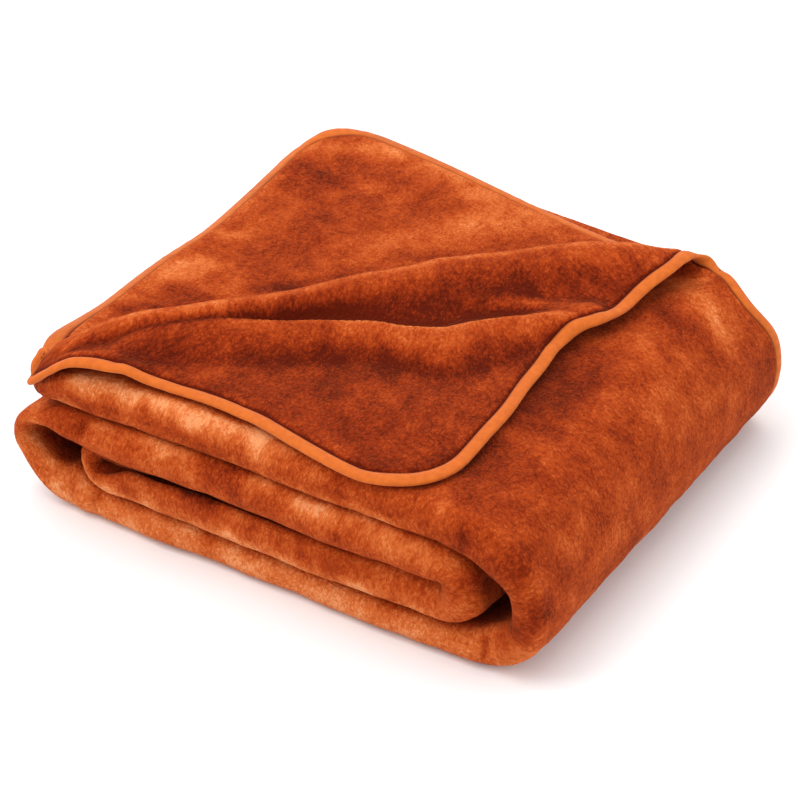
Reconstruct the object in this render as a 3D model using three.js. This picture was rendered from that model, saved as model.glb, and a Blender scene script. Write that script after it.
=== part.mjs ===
// Flannel throw blanket, folded in four across its width, then rolled up in flat turns.
// Millimetres, +Z up. The origin is under the middle of the bundle, on the surface that it lies on.
// The near face, where the folded edges show, looks along -Y, and the smooth rolled end along +X.

import * as THREE from "three";

// Sheet, as cut and bound
const THROW_WIDTH = 1270;
const THROW_LENGTH = 1520;
const CORNER_RADIUS = 46;
const CORNER_ZONE = 84;

// Edge binding, a tape folded over the edge
const BINDING_WIDTH = 10;
const BINDING_NOSE = 1.2;
const EDGE_INSIDE_BINDING = 2.4;
const SEAM_GAP = 0.3;
const CHANNEL_CLEARANCE = 0.75;
const PILE_RECOVERY = 3;

// Thicknesses as shares of the distance between two layers, because the pile is squeezed where layers are
const CLOTH_SHARE = 0.85;
const BINDING_SHARE = 0.845;
const TAPE_SHARE = 0.14;
const NOSE_SHARE = 0.85;
const CHANNEL_SHARE = BINDING_SHARE - 2 * TAPE_SHARE;

// Fold across the width, measured along the cloth from the loose long edge of the outermost layer
const ACROSS = {
  outerLayer: 307,
  outerFrontFold: 24,
  innermostLayer: 306,
  backFold: 8,
  innerLayer: 306,
  innerFrontFold: 8,
};

// The flat turns of the roll, in order from the outer end. Heights are of the middle of the folded strip,
// pitch is the distance between layers there. The front columns say how far the folded edge stands back
// where the turn starts and where it ends.
const TURNS = [
  { name: "top", height: 90.4, pitch: 6.0, from: 0, to: 303, frontAtStart: 3, frontAtEnd: 3 },
  { name: "bottom", height: 9.625, pitch: 5.0, from: 303, to: 32, frontAtStart: 1, frontAtEnd: -2 },
  { name: "upper middle", height: 64.3, pitch: 7.0, from: 32, to: 292, frontAtStart: -1, frontAtEnd: 12 },
  { name: "tongue", height: 34.0, pitch: 7.0, from: 292, to: 55, frontAtStart: 13, frontAtEnd: 2 },
  { name: "tucked end", height: 42.5, pitch: 3.7, from: 55, to: 220, frontAtStart: 3, frontAtEnd: 26 },
];
// The tongue is pressed thinner where the tucked end lies on it.
const PRESSED_TONGUE = { height: 27.5, pitch: 3.7, starts: 290, ends: 252 };

// The outermost layer is turned back over a slanting line: its corner lies near the front edge.
const FOLD_LINE = { u: 0, v: 17, angle: 46.6, reach: 414 };
const ROLL_RADIUS = { left: 9, middle: 8.5, right: 11 };
const ROLL_SETTLES_IN = 20;
// Distances along the loose long edge at which the ridges start to cross it, and the roll crosses it
const RIDGES_MEET_EDGE = 120;
const ROLL_MEETS_EDGE = { from: 210, to: 294 };
// How far the turned-back corner is drawn towards the front and the left
const CORNER_DRAWN = { u: -2, v: -48, over: 184 };
// Soft ridges of the turned-back layer, each along a line in plan
const RIDGES = [
  { fromU: 20, fromV: 30, toU: 262, toV: 196, halfWidth: 15, heightFrom: 1, heightTo: 11 },
  { fromU: 205, fromV: 190, toU: 290, toV: 232, halfWidth: 16, heightFrom: 3, heightTo: 12 },
];

// Unevenness of the whole bundle
const BACK_SPREAD_LEFT = 12;
const BUNDLE_WIDTH = 354;
const BUNDLE_DEPTH = 322;
// Place of the origin, the middle of the bundle's outline in plan
const OUTLINE_CENTRE = { u: 173.65, v: 171.05 };

const CLOTH_COLOUR = 0xb4461c;
const BINDING_COLOUR = 0xe07a30;

const clamp = (value, low, high) => Math.min(high, Math.max(low, value));
const mix = (a, b, share) => a + (b - a) * share;
const soft = (share) => {
  const t = clamp(share, 0, 1);
  return t * t * (3 - 2 * t);
};

// Path of the folded strip in the plane seen from the front, as straight runs and half turns
function pathPieces() {
  const pieces = [];
  let start = 0;
  TURNS.forEach((turn, index) => {
    const next = TURNS[index + 1];
    const length = Math.abs(turn.to - turn.from);
    pieces.push({ kind: "run", turn, start, length, side: Math.sign(turn.to - turn.from) });
    start += length;
    if (!next) return;
    const ends = turn.name === "tongue" ? PRESSED_TONGUE : turn;
    const radius = Math.abs(next.height - ends.height) / 2;
    const centre = (next.height + ends.height) / 2;
    pieces.push({ kind: "half turn", turn, next, ends, start, length: Math.PI * radius, radius, centre });
    start += Math.PI * radius;
  });
  return pieces;
}

const PATH = pathPieces();
const TOP_FOLD_LINE = TURNS[0].frontAtStart + (1.5 + CLOTH_SHARE / 2) * TURNS[0].pitch;

// Middle of the strip at a distance along the throw: place, outward direction, pitch and front edge
function alongPath(distance) {
  const piece = PATH.findLast((candidate) => candidate.start <= distance) ?? PATH[0];
  const travelled = distance - piece.start;
  const { turn } = piece;
  if (piece.kind === "run") {
    const u = turn.from + piece.side * travelled;
    let { height, pitch } = turn;
    if (turn.name === "tongue") {
      const pressed = soft((PRESSED_TONGUE.starts - u) / (PRESSED_TONGUE.starts - PRESSED_TONGUE.ends));
      height = mix(height, PRESSED_TONGUE.height, pressed);
      pitch = mix(pitch, PRESSED_TONGUE.pitch, pressed);
    }
    const front = mix(turn.frontAtStart, turn.frontAtEnd, travelled / piece.length);
    return { u, z: height, outU: 0, outZ: piece.side, pitch, front };
  }
  const share = travelled / piece.length;
  const side = Math.sign(turn.to - turn.from);
  const climbs = piece.next.height > piece.ends.height ? 1 : -1;
  const angle = Math.PI * share;
  const outU = side * Math.sin(angle);
  const outZ = -climbs * Math.cos(angle);
  return {
    u: turn.to + piece.radius * outU,
    z: piece.centre + piece.radius * outZ,
    outU,
    outZ,
    pitch: mix(piece.ends.pitch, piece.next.pitch, soft(share)),
    front: mix(turn.frontAtEnd, piece.next.frontAtStart, share),
  };
}

// Place in the folded strip's section: v from front to back, w outwards from the strip's middle
function acrossSection(x, pitch, front) {
  const outer = 1.5 * pitch;
  const inner = 0.5 * pitch;
  const foldLine = front + outer + (CLOTH_SHARE * pitch) / 2;
  const back = foldLine + ACROSS.innermostLayer;
  let left = x;
  if (left < ACROSS.outerLayer) return { v: foldLine + ACROSS.outerLayer - left, w: outer };
  left -= ACROSS.outerLayer;
  if (left < ACROSS.outerFrontFold) {
    const angle = (Math.PI * left) / ACROSS.outerFrontFold;
    return { v: foldLine - outer * Math.sin(angle), w: outer * Math.cos(angle) };
  }
  left -= ACROSS.outerFrontFold;
  if (left < ACROSS.innermostLayer) return { v: foldLine + left, w: -outer };
  left -= ACROSS.innermostLayer;
  if (left < ACROSS.backFold) {
    const angle = (Math.PI * left) / ACROSS.backFold;
    return { v: back + inner * Math.sin(angle), w: -pitch - inner * Math.cos(angle) };
  }
  left -= ACROSS.backFold;
  if (left < ACROSS.innerLayer) return { v: back - left, w: -inner };
  left -= ACROSS.innerLayer;
  if (left < ACROSS.innerFrontFold) {
    const angle = (Math.PI * left) / ACROSS.innerFrontFold;
    return { v: foldLine - inner * Math.sin(angle), w: -inner * Math.cos(angle) };
  }
  left -= ACROSS.innerFrontFold;
  return { v: foldLine + left, w: inner };
}

// Height of the soft ridges over the turned-back layer at a place in plan
function ridgeHeight(u, v) {
  let height = 0;
  for (const ridge of RIDGES) {
    const alongU = ridge.toU - ridge.fromU;
    const alongV = ridge.toV - ridge.fromV;
    const length = Math.hypot(alongU, alongV);
    const along = ((u - ridge.fromU) * alongU + (v - ridge.fromV) * alongV) / length;
    const aside = ((v - ridge.fromV) * alongU - (u - ridge.fromU) * alongV) / length;
    const beyond = Math.max(0, -along, along - length);
    const share = clamp(along / length, 0, 1);
    const crest = mix(ridge.heightFrom, ridge.heightTo, share);
    height += crest * Math.exp(-(aside * aside + beyond * beyond) / (ridge.halfWidth * ridge.halfWidth));
  }
  return height;
}

const FOLD_ANGLE = THREE.MathUtils.degToRad(FOLD_LINE.angle);
const FOLD_U = Math.cos(FOLD_ANGLE);
const FOLD_V = Math.sin(FOLD_ANGLE);

// Radius of the roll at a distance along the fold line
function rollRadius(along) {
  const share = (2 * along) / FOLD_LINE.reach;
  if (share < 1) return mix(ROLL_RADIUS.left, ROLL_RADIUS.middle, soft(share));
  return mix(ROLL_RADIUS.middle, ROLL_RADIUS.right, soft(share - 1));
}

// The corner of the outermost layer rolled back over the slanting fold line
function turnedBack(u, v, level, pitch) {
  const along = (u - FOLD_LINE.u) * FOLD_U + (v - FOLD_LINE.v) * FOLD_V;
  const beyond = (v - FOLD_LINE.v) * FOLD_U - (u - FOLD_LINE.u) * FOLD_V;
  if (beyond <= 0) return new THREE.Vector3(u, v, level);
  const radius = rollRadius(along);
  const back = Math.max(0, beyond - Math.PI * radius);
  const turned = Math.min(beyond / radius, Math.PI);
  const aside = radius * Math.sin(turned) - back;
  const drawn = back / CORNER_DRAWN.over;
  const point = new THREE.Vector3(
    FOLD_LINE.u + along * FOLD_U - aside * FOLD_V + CORNER_DRAWN.u * drawn,
    FOLD_LINE.v + along * FOLD_V + aside * FOLD_U + CORNER_DRAWN.v * drawn,
    level + radius * (1 - Math.cos(turned)),
  );
  const settled = 1 - Math.exp(-((back / ROLL_SETTLES_IN) ** 2));
  const onTop = soft((turned / Math.PI) * 2 - 1);
  point.z += settled * (pitch - 2 * radius) + onTop * ridgeHeight(point.x, point.y);
  return point;
}

// Middle surface of the cloth at a point of the flat sheet
function place(x, y) {
  const path = alongPath(y);
  const section = acrossSection(x, path.pitch, path.front);
  const point = new THREE.Vector3(
    path.u + section.w * path.outU,
    section.v,
    path.z + section.w * path.outZ,
  );
  const onTop = y < TURNS[0].to;
  if (onTop && x < ACROSS.outerLayer) return uneven(turnedBack(point.x, point.y, point.z, path.pitch));
  return uneven(point);
}

// Slow changes of shape over the whole bundle, which keep the layers in order and the base flat
function uneven(point) {
  const toBack = clamp(point.y / BUNDLE_DEPTH, 0, 1.2);
  const toLeft = 1 - clamp(point.x / BUNDLE_WIDTH, 0, 1);
  const high = clamp(point.z / TURNS[0].height, 0, 1.2);
  point.y += BACK_SPREAD_LEFT * toBack * toBack * toLeft * high;
  return point;
}

// Outward direction of the cloth's first face at a point of the flat sheet
function facing(x, y) {
  const step = 0.05;
  const lowX = Math.max(0, x - step);
  const highX = Math.min(THROW_WIDTH, x + step);
  const lowY = Math.max(0, y - step);
  const highY = Math.min(THROW_LENGTH, y + step);
  const acrossCloth = place(highX, y).sub(place(lowX, y));
  const alongCloth = place(x, highY).sub(place(x, lowY));
  return acrossCloth.cross(alongCloth).normalize();
}

// Moves a point of a square-cornered sheet to its place on the sheet with rounded corners
function rounded(x, y) {
  const mirrorX = x > THROW_WIDTH / 2;
  const mirrorY = y > THROW_LENGTH / 2;
  const fromSide = mirrorX ? THROW_WIDTH - x : x;
  const fromEnd = mirrorY ? THROW_LENGTH - y : y;
  const inset = Math.min(fromSide, fromEnd);
  const travel = Math.max(fromSide, fromEnd) - inset;
  const radius = CORNER_RADIUS - inset;
  const zone = CORNER_ZONE - inset;
  let alongEdge = travel;
  let offEdge = 0;
  if (radius > 0 && travel < zone) {
    const arc = (radius * Math.PI) / 4;
    if (travel < arc) {
      const angle = Math.PI / 4 - travel / radius;
      alongEdge = radius - radius * Math.sin(angle);
      offEdge = radius - radius * Math.cos(angle);
    } else {
      alongEdge = radius + ((travel - arc) * (zone - radius)) / (zone - arc);
    }
  }
  const alongSide = fromSide >= fromEnd;
  const newSide = inset + (alongSide ? alongEdge : offEdge);
  const newEnd = inset + (alongSide ? offEdge : alongEdge);
  return {
    x: mirrorX ? THROW_WIDTH - newSide : newSide,
    y: mirrorY ? THROW_LENGTH - newEnd : newEnd,
  };
}

// Distances at which a length is divided, each interval in equal parts
function divided(intervals, start = 0) {
  const stations = [start];
  for (const { length, parts } of intervals) {
    const from = stations.at(-1);
    for (let part = 1; part <= parts; part++) stations.push(from + (length * part) / parts);
  }
  return stations;
}

// Steps near each edge of the sheet: the cloth's edge in the binding, the binding's own edge, the full
// pile and one more for the rounded corner
const PILE_STEPS = [BINDING_WIDTH + SEAM_GAP + PILE_RECOVERY, 30];
const CLOTH_STEPS = [EDGE_INSIDE_BINDING, BINDING_WIDTH + SEAM_GAP, ...PILE_STEPS];
const LAST_STEP = CLOTH_STEPS.at(-1);

// Where the roll of the turned-back corner is, across the sheet, in the row at a distance along it
const ROLL_PARTS = 8;
function rollAcross(y) {
  const row = y <= PILE_STEPS[0] ? PILE_STEPS[0] / 2 : y;
  const start = TOP_FOLD_LINE + ACROSS.outerLayer - FOLD_LINE.v - (row * FOLD_V) / FOLD_U;
  const width = (1.3 * Math.PI * ROLL_RADIUS.middle) / FOLD_U;
  const nearest = LAST_STEP + 8;
  const from = clamp(start - 0.87 * width, nearest, ACROSS.outerLayer - 6);
  const to = clamp(start + 0.13 * width, from + ROLL_PARTS, ACROSS.outerLayer - 2);
  return { from, to };
}

// Stations across the sheet in one row, dense where the outermost layer is rolled back
function acrossStations(y, edgeSteps) {
  const roll = rollAcross(y);
  const lastLayer = THROW_WIDTH - Object.values(ACROSS).reduce((sum, length) => sum + length);
  return [
    ...edgeSteps,
    ...divided(
      [
        { length: roll.from - LAST_STEP, parts: 4 },
        { length: roll.to - roll.from, parts: ROLL_PARTS },
        { length: ACROSS.outerLayer - roll.to, parts: 2 },
        { length: ACROSS.outerFrontFold, parts: 4 },
        { length: ACROSS.innermostLayer, parts: 1 },
        { length: ACROSS.backFold, parts: 3 },
        { length: ACROSS.innerLayer, parts: 1 },
        { length: ACROSS.innerFrontFold, parts: 3 },
        { length: lastLayer - LAST_STEP, parts: 2 },
      ],
      LAST_STEP,
    ).slice(1, -1),
    ...edgeSteps.map((step) => THROW_WIDTH - step).reverse(),
  ];
}

const PARTS_OF_PIECE = {
  "top half turn": 7,
  "bottom run": 1,
  "bottom half turn": 5,
  "upper middle run": 1,
  "upper middle half turn": 5,
  "tongue run": 4,
  "tongue half turn": 4,
  "tucked end run": 2,
};

// Stations along the sheet, dense where the roll meets the loose long edge
function alongStations(edgeSteps) {
  const [topRun, ...rest] = PATH;
  const topIntervals = [
    { length: RIDGES_MEET_EDGE - LAST_STEP, parts: 2 },
    { length: ROLL_MEETS_EDGE.from - RIDGES_MEET_EDGE, parts: 5 },
    { length: ROLL_MEETS_EDGE.to - ROLL_MEETS_EDGE.from, parts: 10 },
    { length: topRun.length - ROLL_MEETS_EDGE.to, parts: 1 },
  ];
  const intervals = rest.map((piece) => ({
    length: Math.min(piece.length, THROW_LENGTH - LAST_STEP - piece.start),
    parts: PARTS_OF_PIECE[`${piece.turn.name} ${piece.kind}`],
  }));
  return [
    ...edgeSteps,
    ...divided([...topIntervals, ...intervals], LAST_STEP).slice(1, -1),
    ...edgeSteps.map((step) => THROW_LENGTH - step).reverse(),
  ];
}

function half(x, y, share) {
  return (share * alongPath(clamp(y, 0, THROW_LENGTH - 0.01)).pitch) / 2;
}

// Half thickness of the cloth: thin inside the binding, full beyond it
function clothHalf(x, y) {
  const fromEdge = Math.min(x, y, THROW_WIDTH - x, THROW_LENGTH - y);
  const recovered = clamp((fromEdge - BINDING_WIDTH - SEAM_GAP) / PILE_RECOVERY, 0, 1);
  const full = half(x, y, CLOTH_SHARE);
  const held = half(x, y, CHANNEL_SHARE) - CHANNEL_CLEARANCE;
  return mix(held, full, recovered);
}

// Closed mesh from a list of points and a list of triangles
function closedMesh(name, points, triangles, colour) {
  const geometry = new THREE.BufferGeometry();
  const coordinates = points.flatMap((point) => point.toArray());
  geometry.setAttribute("position", new THREE.Float32BufferAttribute(coordinates, 3));
  geometry.setIndex(triangles);
  geometry.computeVertexNormals();
  const material = new THREE.MeshStandardMaterial({ color: colour, roughness: 0.95, metalness: 0 });
  const mesh = new THREE.Mesh(geometry, material);
  mesh.name = name;
  return mesh;
}

// Middle surface and facing at a point of the square-cornered sheet
function frameAt(column, row) {
  const { x, y } = rounded(column, row);
  return { point: place(x, y), normal: facing(x, y) };
}

// The same near an edge, on the straight line that the binding follows there
function frameNearEdge(column, row) {
  const fromSide = Math.min(column, THROW_WIDTH - column);
  const fromEnd = Math.min(row, THROW_LENGTH - row);
  const inset = Math.min(fromSide, fromEnd);
  if (inset >= PILE_STEPS[0] || Math.max(fromSide, fromEnd) < PILE_STEPS[0]) return frameAt(column, row);
  const moved = (value, full, distance) => (value < full / 2 ? distance : full - distance);
  const onRing = (distance) =>
    fromSide < fromEnd
      ? frameAt(moved(column, THROW_WIDTH, distance), row)
      : frameAt(column, moved(row, THROW_LENGTH, distance));
  const edge = onRing(0);
  const mouth = onRing(BINDING_WIDTH);
  const share = inset / BINDING_WIDTH;
  return { point: edge.point.lerp(mouth.point, share), normal: edge.normal.lerp(mouth.normal, share) };
}

// The panel: a grid of the first face, a grid of the second and a rim between them
function blanketCloth() {
  const rows = alongStations(CLOTH_STEPS);
  const points = [];
  for (const face of [1, -1]) {
    for (const row of rows) {
      for (const column of acrossStations(row, CLOTH_STEPS)) {
        const { point, normal } = frameNearEdge(column, row);
        points.push(point.addScaledVector(normal, face * clothHalf(column, row)));
      }
    }
  }
  const wide = acrossStations(0, CLOTH_STEPS).length;
  const long = rows.length;
  const other = wide * long;
  const triangles = [];
  const quad = (a, b, c, d) => triangles.push(a, b, c, a, c, d);
  for (let j = 0; j < long - 1; j++) {
    for (let i = 0; i < wide - 1; i++) {
      const corner = j * wide + i;
      quad(corner, corner + 1, corner + 1 + wide, corner + wide);
      quad(other + corner, other + corner + wide, other + corner + 1 + wide, other + corner + 1);
    }
  }
  const rim = [];
  for (let i = 0; i < wide - 1; i++) rim.push(i);
  for (let j = 0; j < long - 1; j++) rim.push(j * wide + wide - 1);
  for (let i = wide - 1; i > 0; i--) rim.push((long - 1) * wide + i);
  for (let j = long - 1; j > 0; j--) rim.push(j * wide);
  rim.forEach((here, index) => {
    const next = rim[(index + 1) % rim.length];
    quad(next, here, other + here, other + next);
  });
  return closedMesh("blanket_cloth", points, triangles, CLOTH_COLOUR);
}

// Section of the binding: distance from the sheet's edge, and height as a share of the layer distance
const BINDING_SECTION = [
  { inset: 0, share: NOSE_SHARE * BINDING_SHARE },
  { inset: BINDING_WIDTH, share: BINDING_SHARE },
  { inset: BINDING_WIDTH, share: CHANNEL_SHARE },
  { inset: BINDING_NOSE, share: CHANNEL_SHARE },
  { inset: BINDING_NOSE, share: -CHANNEL_SHARE },
  { inset: BINDING_WIDTH, share: -CHANNEL_SHARE },
  { inset: BINDING_WIDTH, share: -BINDING_SHARE },
  { inset: 0, share: -NOSE_SHARE * BINDING_SHARE },
];

// The binding: a U-shaped section carried once round the sheet
function edgeBinding() {
  const across = acrossStations(0, PILE_STEPS);
  const acrossEnd = acrossStations(THROW_LENGTH, PILE_STEPS).reverse();
  const along = alongStations(PILE_STEPS);
  const alongBack = along.toReversed();
  const stops = [
    { onEnd: true, at: (inset) => [inset, inset] },
    ...across.map((x) => ({ onEnd: true, at: (inset) => [x, inset] })),
    { onEnd: false, at: (inset) => [THROW_WIDTH - inset, inset] },
    ...along.map((y) => ({ onEnd: false, at: (inset) => [THROW_WIDTH - inset, y] })),
    { onEnd: true, at: (inset) => [THROW_WIDTH - inset, THROW_LENGTH - inset] },
    ...acrossEnd.map((x) => ({ onEnd: true, at: (inset) => [x, THROW_LENGTH - inset] })),
    { onEnd: false, at: (inset) => [inset, THROW_LENGTH - inset] },
    ...alongBack.map((y) => ({ onEnd: false, at: (inset) => [inset, y] })),
  ];
  const points = stops.flatMap((stop) =>
    BINDING_SECTION.map(({ inset, share }) => {
      const [column, row] = stop.at(inset);
      const { point, normal } = frameNearEdge(column, row);
      return point.addScaledVector(normal, half(column, row, share));
    }),
  );
  const triangles = [];
  const count = BINDING_SECTION.length;
  stops.forEach((stop, index) => {
    const here = index * count;
    const next = ((index + 1) % stops.length) * count;
    for (let corner = 0; corner < count; corner++) {
      const after = (corner + 1) % count;
      const [a, b, c, d] = [here + corner, next + corner, next + after, here + after];
      const rises = BINDING_SECTION[corner].inset < BINDING_SECTION[after].inset;
      if (rises === stop.onEnd) triangles.push(a, b, c, a, c, d);
      else triangles.push(a, b, d, b, c, d);
    }
  });
  return closedMesh("edge_binding", points, triangles, BINDING_COLOUR);
}

const blanket = new THREE.Group();
blanket.add(blanketCloth(), edgeBinding());
blanket.position.set(-OUTLINE_CENTRE.u, -OUTLINE_CENTRE.v, 0);

export default blanket;
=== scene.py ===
"""Flannel throw blanket, folded in four across its width, rolled up in flat turns, one corner turned back.

The shape classes work in millimetres: x and y are places on the flat sheet, u, v and z places in the folded
bundle, from its left end, from its front edge and upwards. The meshes are made in metres, in the frame's own
axes. The file goes from the flat sheet and its folds to the bundle, and on to the cloth, its binding, the
finishes and the studio.
"""

from __future__ import annotations

import logging
import math
from collections.abc import Callable, Sequence
from dataclasses import dataclass, field
from enum import Enum, IntEnum
from typing import TypeVar

import bpy
import numpy as np
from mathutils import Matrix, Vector


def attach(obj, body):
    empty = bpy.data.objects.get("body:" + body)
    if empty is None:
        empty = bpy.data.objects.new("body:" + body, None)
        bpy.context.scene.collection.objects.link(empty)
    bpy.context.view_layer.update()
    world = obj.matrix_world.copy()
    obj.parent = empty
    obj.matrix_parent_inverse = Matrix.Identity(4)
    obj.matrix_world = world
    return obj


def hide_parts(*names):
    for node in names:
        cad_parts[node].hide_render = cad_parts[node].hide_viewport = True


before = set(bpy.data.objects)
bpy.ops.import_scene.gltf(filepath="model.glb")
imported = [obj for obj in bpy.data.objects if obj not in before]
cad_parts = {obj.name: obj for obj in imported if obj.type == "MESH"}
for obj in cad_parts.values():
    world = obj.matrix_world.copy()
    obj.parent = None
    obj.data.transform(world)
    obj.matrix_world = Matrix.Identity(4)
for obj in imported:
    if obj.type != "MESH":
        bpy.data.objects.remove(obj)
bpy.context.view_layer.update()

LOG = logging.getLogger("throw")
Array = np.ndarray
Interval = tuple[float, float, float]
Row = TypeVar("Row")
MM = 0.001
TINY = 1e-6
BUNDLE_WIDTH = 354.0
BUNDLE_DEPTH = 322.0
BACK_SPREAD = 12.0  # how far the back of the top pass spreads, at the bundle's left end


class Face(Enum):
    """The two faces of the cloth: the outside of the bundle, and the inside."""

    OUTER = 1
    INNER = -1


class Part(IntEnum):
    """Straight runs and half turns of the rolled-up strip, in order from its outer end."""

    TOP = 0
    RIGHT_BEND = 1
    BOTTOM = 2
    LEFT_BEND = 3
    UPPER_MIDDLE = 4
    NOSE = 5
    TONGUE = 6
    INNER_BEND = 7
    TUCKED_END = 8


class Wave(Enum):
    """Lines along the turned-back layer, as the columns of the table of its waves name them."""

    CREST = "crest"
    VALLEY = "valley"
    RIDGE = "ridge"
    TROUGH = "trough"
    SWELL = "swell"
    END = "end"


# -------------------------------------------------------------------------------------------- small helpers


def soft(share: Array | float) -> Array:
    """Eased step from 0 to 1.

    Args:
        share: Place between the start, 0, and the end, 1.

    Returns:
        The eased value, held at 0 and 1 outside.
    """
    t = np.clip(share, 0.0, 1.0)
    return t * t * (3.0 - 2.0 * t)


def mix(a: Array | float, b: Array | float, share: Array | float) -> Array | float:
    """Value between a and b at a share of the way."""
    return a + (b - a) * share


def flowing(at: Array, places: Sequence[float], values: Sequence[float]) -> Array:
    """Smooth curve through a short table.

    Args:
        at: Where the curve is read.
        places: Rising places of the table's rows.
        values: Values of the rows.

    Returns:
        The curve's values, held beyond the first and the last row.
    """
    p, q = np.asarray(places, float), np.asarray(values, float)
    slope = np.gradient(q, p)
    a = np.clip(at, p[0], p[-1])
    i = np.clip(np.searchsorted(p, a, side="right") - 1, 0, len(p) - 2)
    width = p[i + 1] - p[i]
    t = (a - p[i]) / width
    t2, t3 = t * t, t * t * t
    start = (2 * t3 - 3 * t2 + 1) * q[i] + (t3 - 2 * t2 + t) * width * slope[i]
    return start + (3 * t2 - 2 * t3) * q[i + 1] + (t3 - t2) * width * slope[i + 1]


def table(kind: type[Row], *rows: tuple) -> tuple[Row, ...]:
    """A table of one kind of row, whose fields are the columns."""
    return tuple(kind(*row) for row in rows)


def stations(intervals: list[Interval]) -> Array:
    """Places that divide a length.

    Args:
        intervals: Start, end and step of each interval, joined end to start.

    Returns:
        The rising places, without repeats.
    """
    places = [np.array([intervals[0][0]])]
    for start, end, step in intervals:
        if end - start > TINY:
            parts = max(1, math.ceil((end - start) / step - TINY))
            places.append(np.linspace(start, end, parts + 1)[1:])
    return np.concatenate(places)


class SoftNoise:
    """Seeded smooth noise over a plane, from about -1 to 1."""

    TABLE = 128
    GAIN = 1.5

    def __init__(self, seed: int) -> None:
        """Draws the lattice of slopes."""
        turn = np.random.default_rng(seed).random((self.TABLE, self.TABLE)) * 2 * math.pi
        self.slope = np.stack([np.cos(turn), np.sin(turn)], -1)

    def at(self, x: Array, y: Array, size: float) -> Array:
        """Reads the noise.

        Args:
            x: First coordinate.
            y: Second coordinate.
            size: Size of one lump, in the coordinates' unit.

        Returns:
            The noise at each place.
        """
        p, q = x / size, y / size
        i, j = np.floor(p).astype(int), np.floor(q).astype(int)
        f, g = p - i, q - j

        def corner(a: int, b: int) -> Array:
            """Pull of one lattice corner."""
            slope = self.slope[(i + a) % self.TABLE, (j + b) % self.TABLE]
            return slope[..., 0] * (f - a) + slope[..., 1] * (g - b)

        ease_f, ease_g = (t * t * t * (t * (t * 6 - 15) + 10) for t in (f, g))
        near, far = (mix(corner(0, b), corner(1, b), ease_f) for b in (0, 1))
        return self.GAIN * mix(near, far, ease_g)


class SoftMove:
    """Smooth field of moves that takes known moves at a few named places."""

    EASE = 0.02
    LEAST_GAP = 1e-9

    def __init__(self, places: Array, moves: Array) -> None:
        """Solves for the field.

        Args:
            places: Places, one row each.
            moves: Moves there, one row each.
        """
        self.places = np.asarray(places, float)
        n = len(self.places)
        bend = self._bend(self.places)
        flat = np.hstack([np.ones((n, 1)), self.places])
        system = np.block([[bend + self.EASE * n * np.eye(n), flat], [flat.T, np.zeros((3, 3))]])
        self.weights = np.linalg.solve(system, np.vstack([moves, np.zeros((3, 2))]))

    def _bend(self, at: Array) -> Array:
        """Bending of a thin plate at some places under a pull at each known one."""
        gap = ((at[:, None, :] - self.places[None, :, :]) ** 2).sum(-1)
        return 0.5 * gap * np.log(gap + self.LEAST_GAP)

    def at(self, first: Array, second: Array) -> tuple[Array, Array]:
        """Moves in both directions at the given places.

        Args:
            first: First coordinates.
            second: Second coordinates.

        Returns:
            The moves in the first and in the second direction.
        """
        at = np.stack([first, second], -1)
        moves = self._bend(at) @ self.weights[:-3] + self.weights[-3] + at @ self.weights[-2:]
        return moves[:, 0], moves[:, 1]


# ---------------------------------------------------------------------------------------- the sheet's shape


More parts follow.
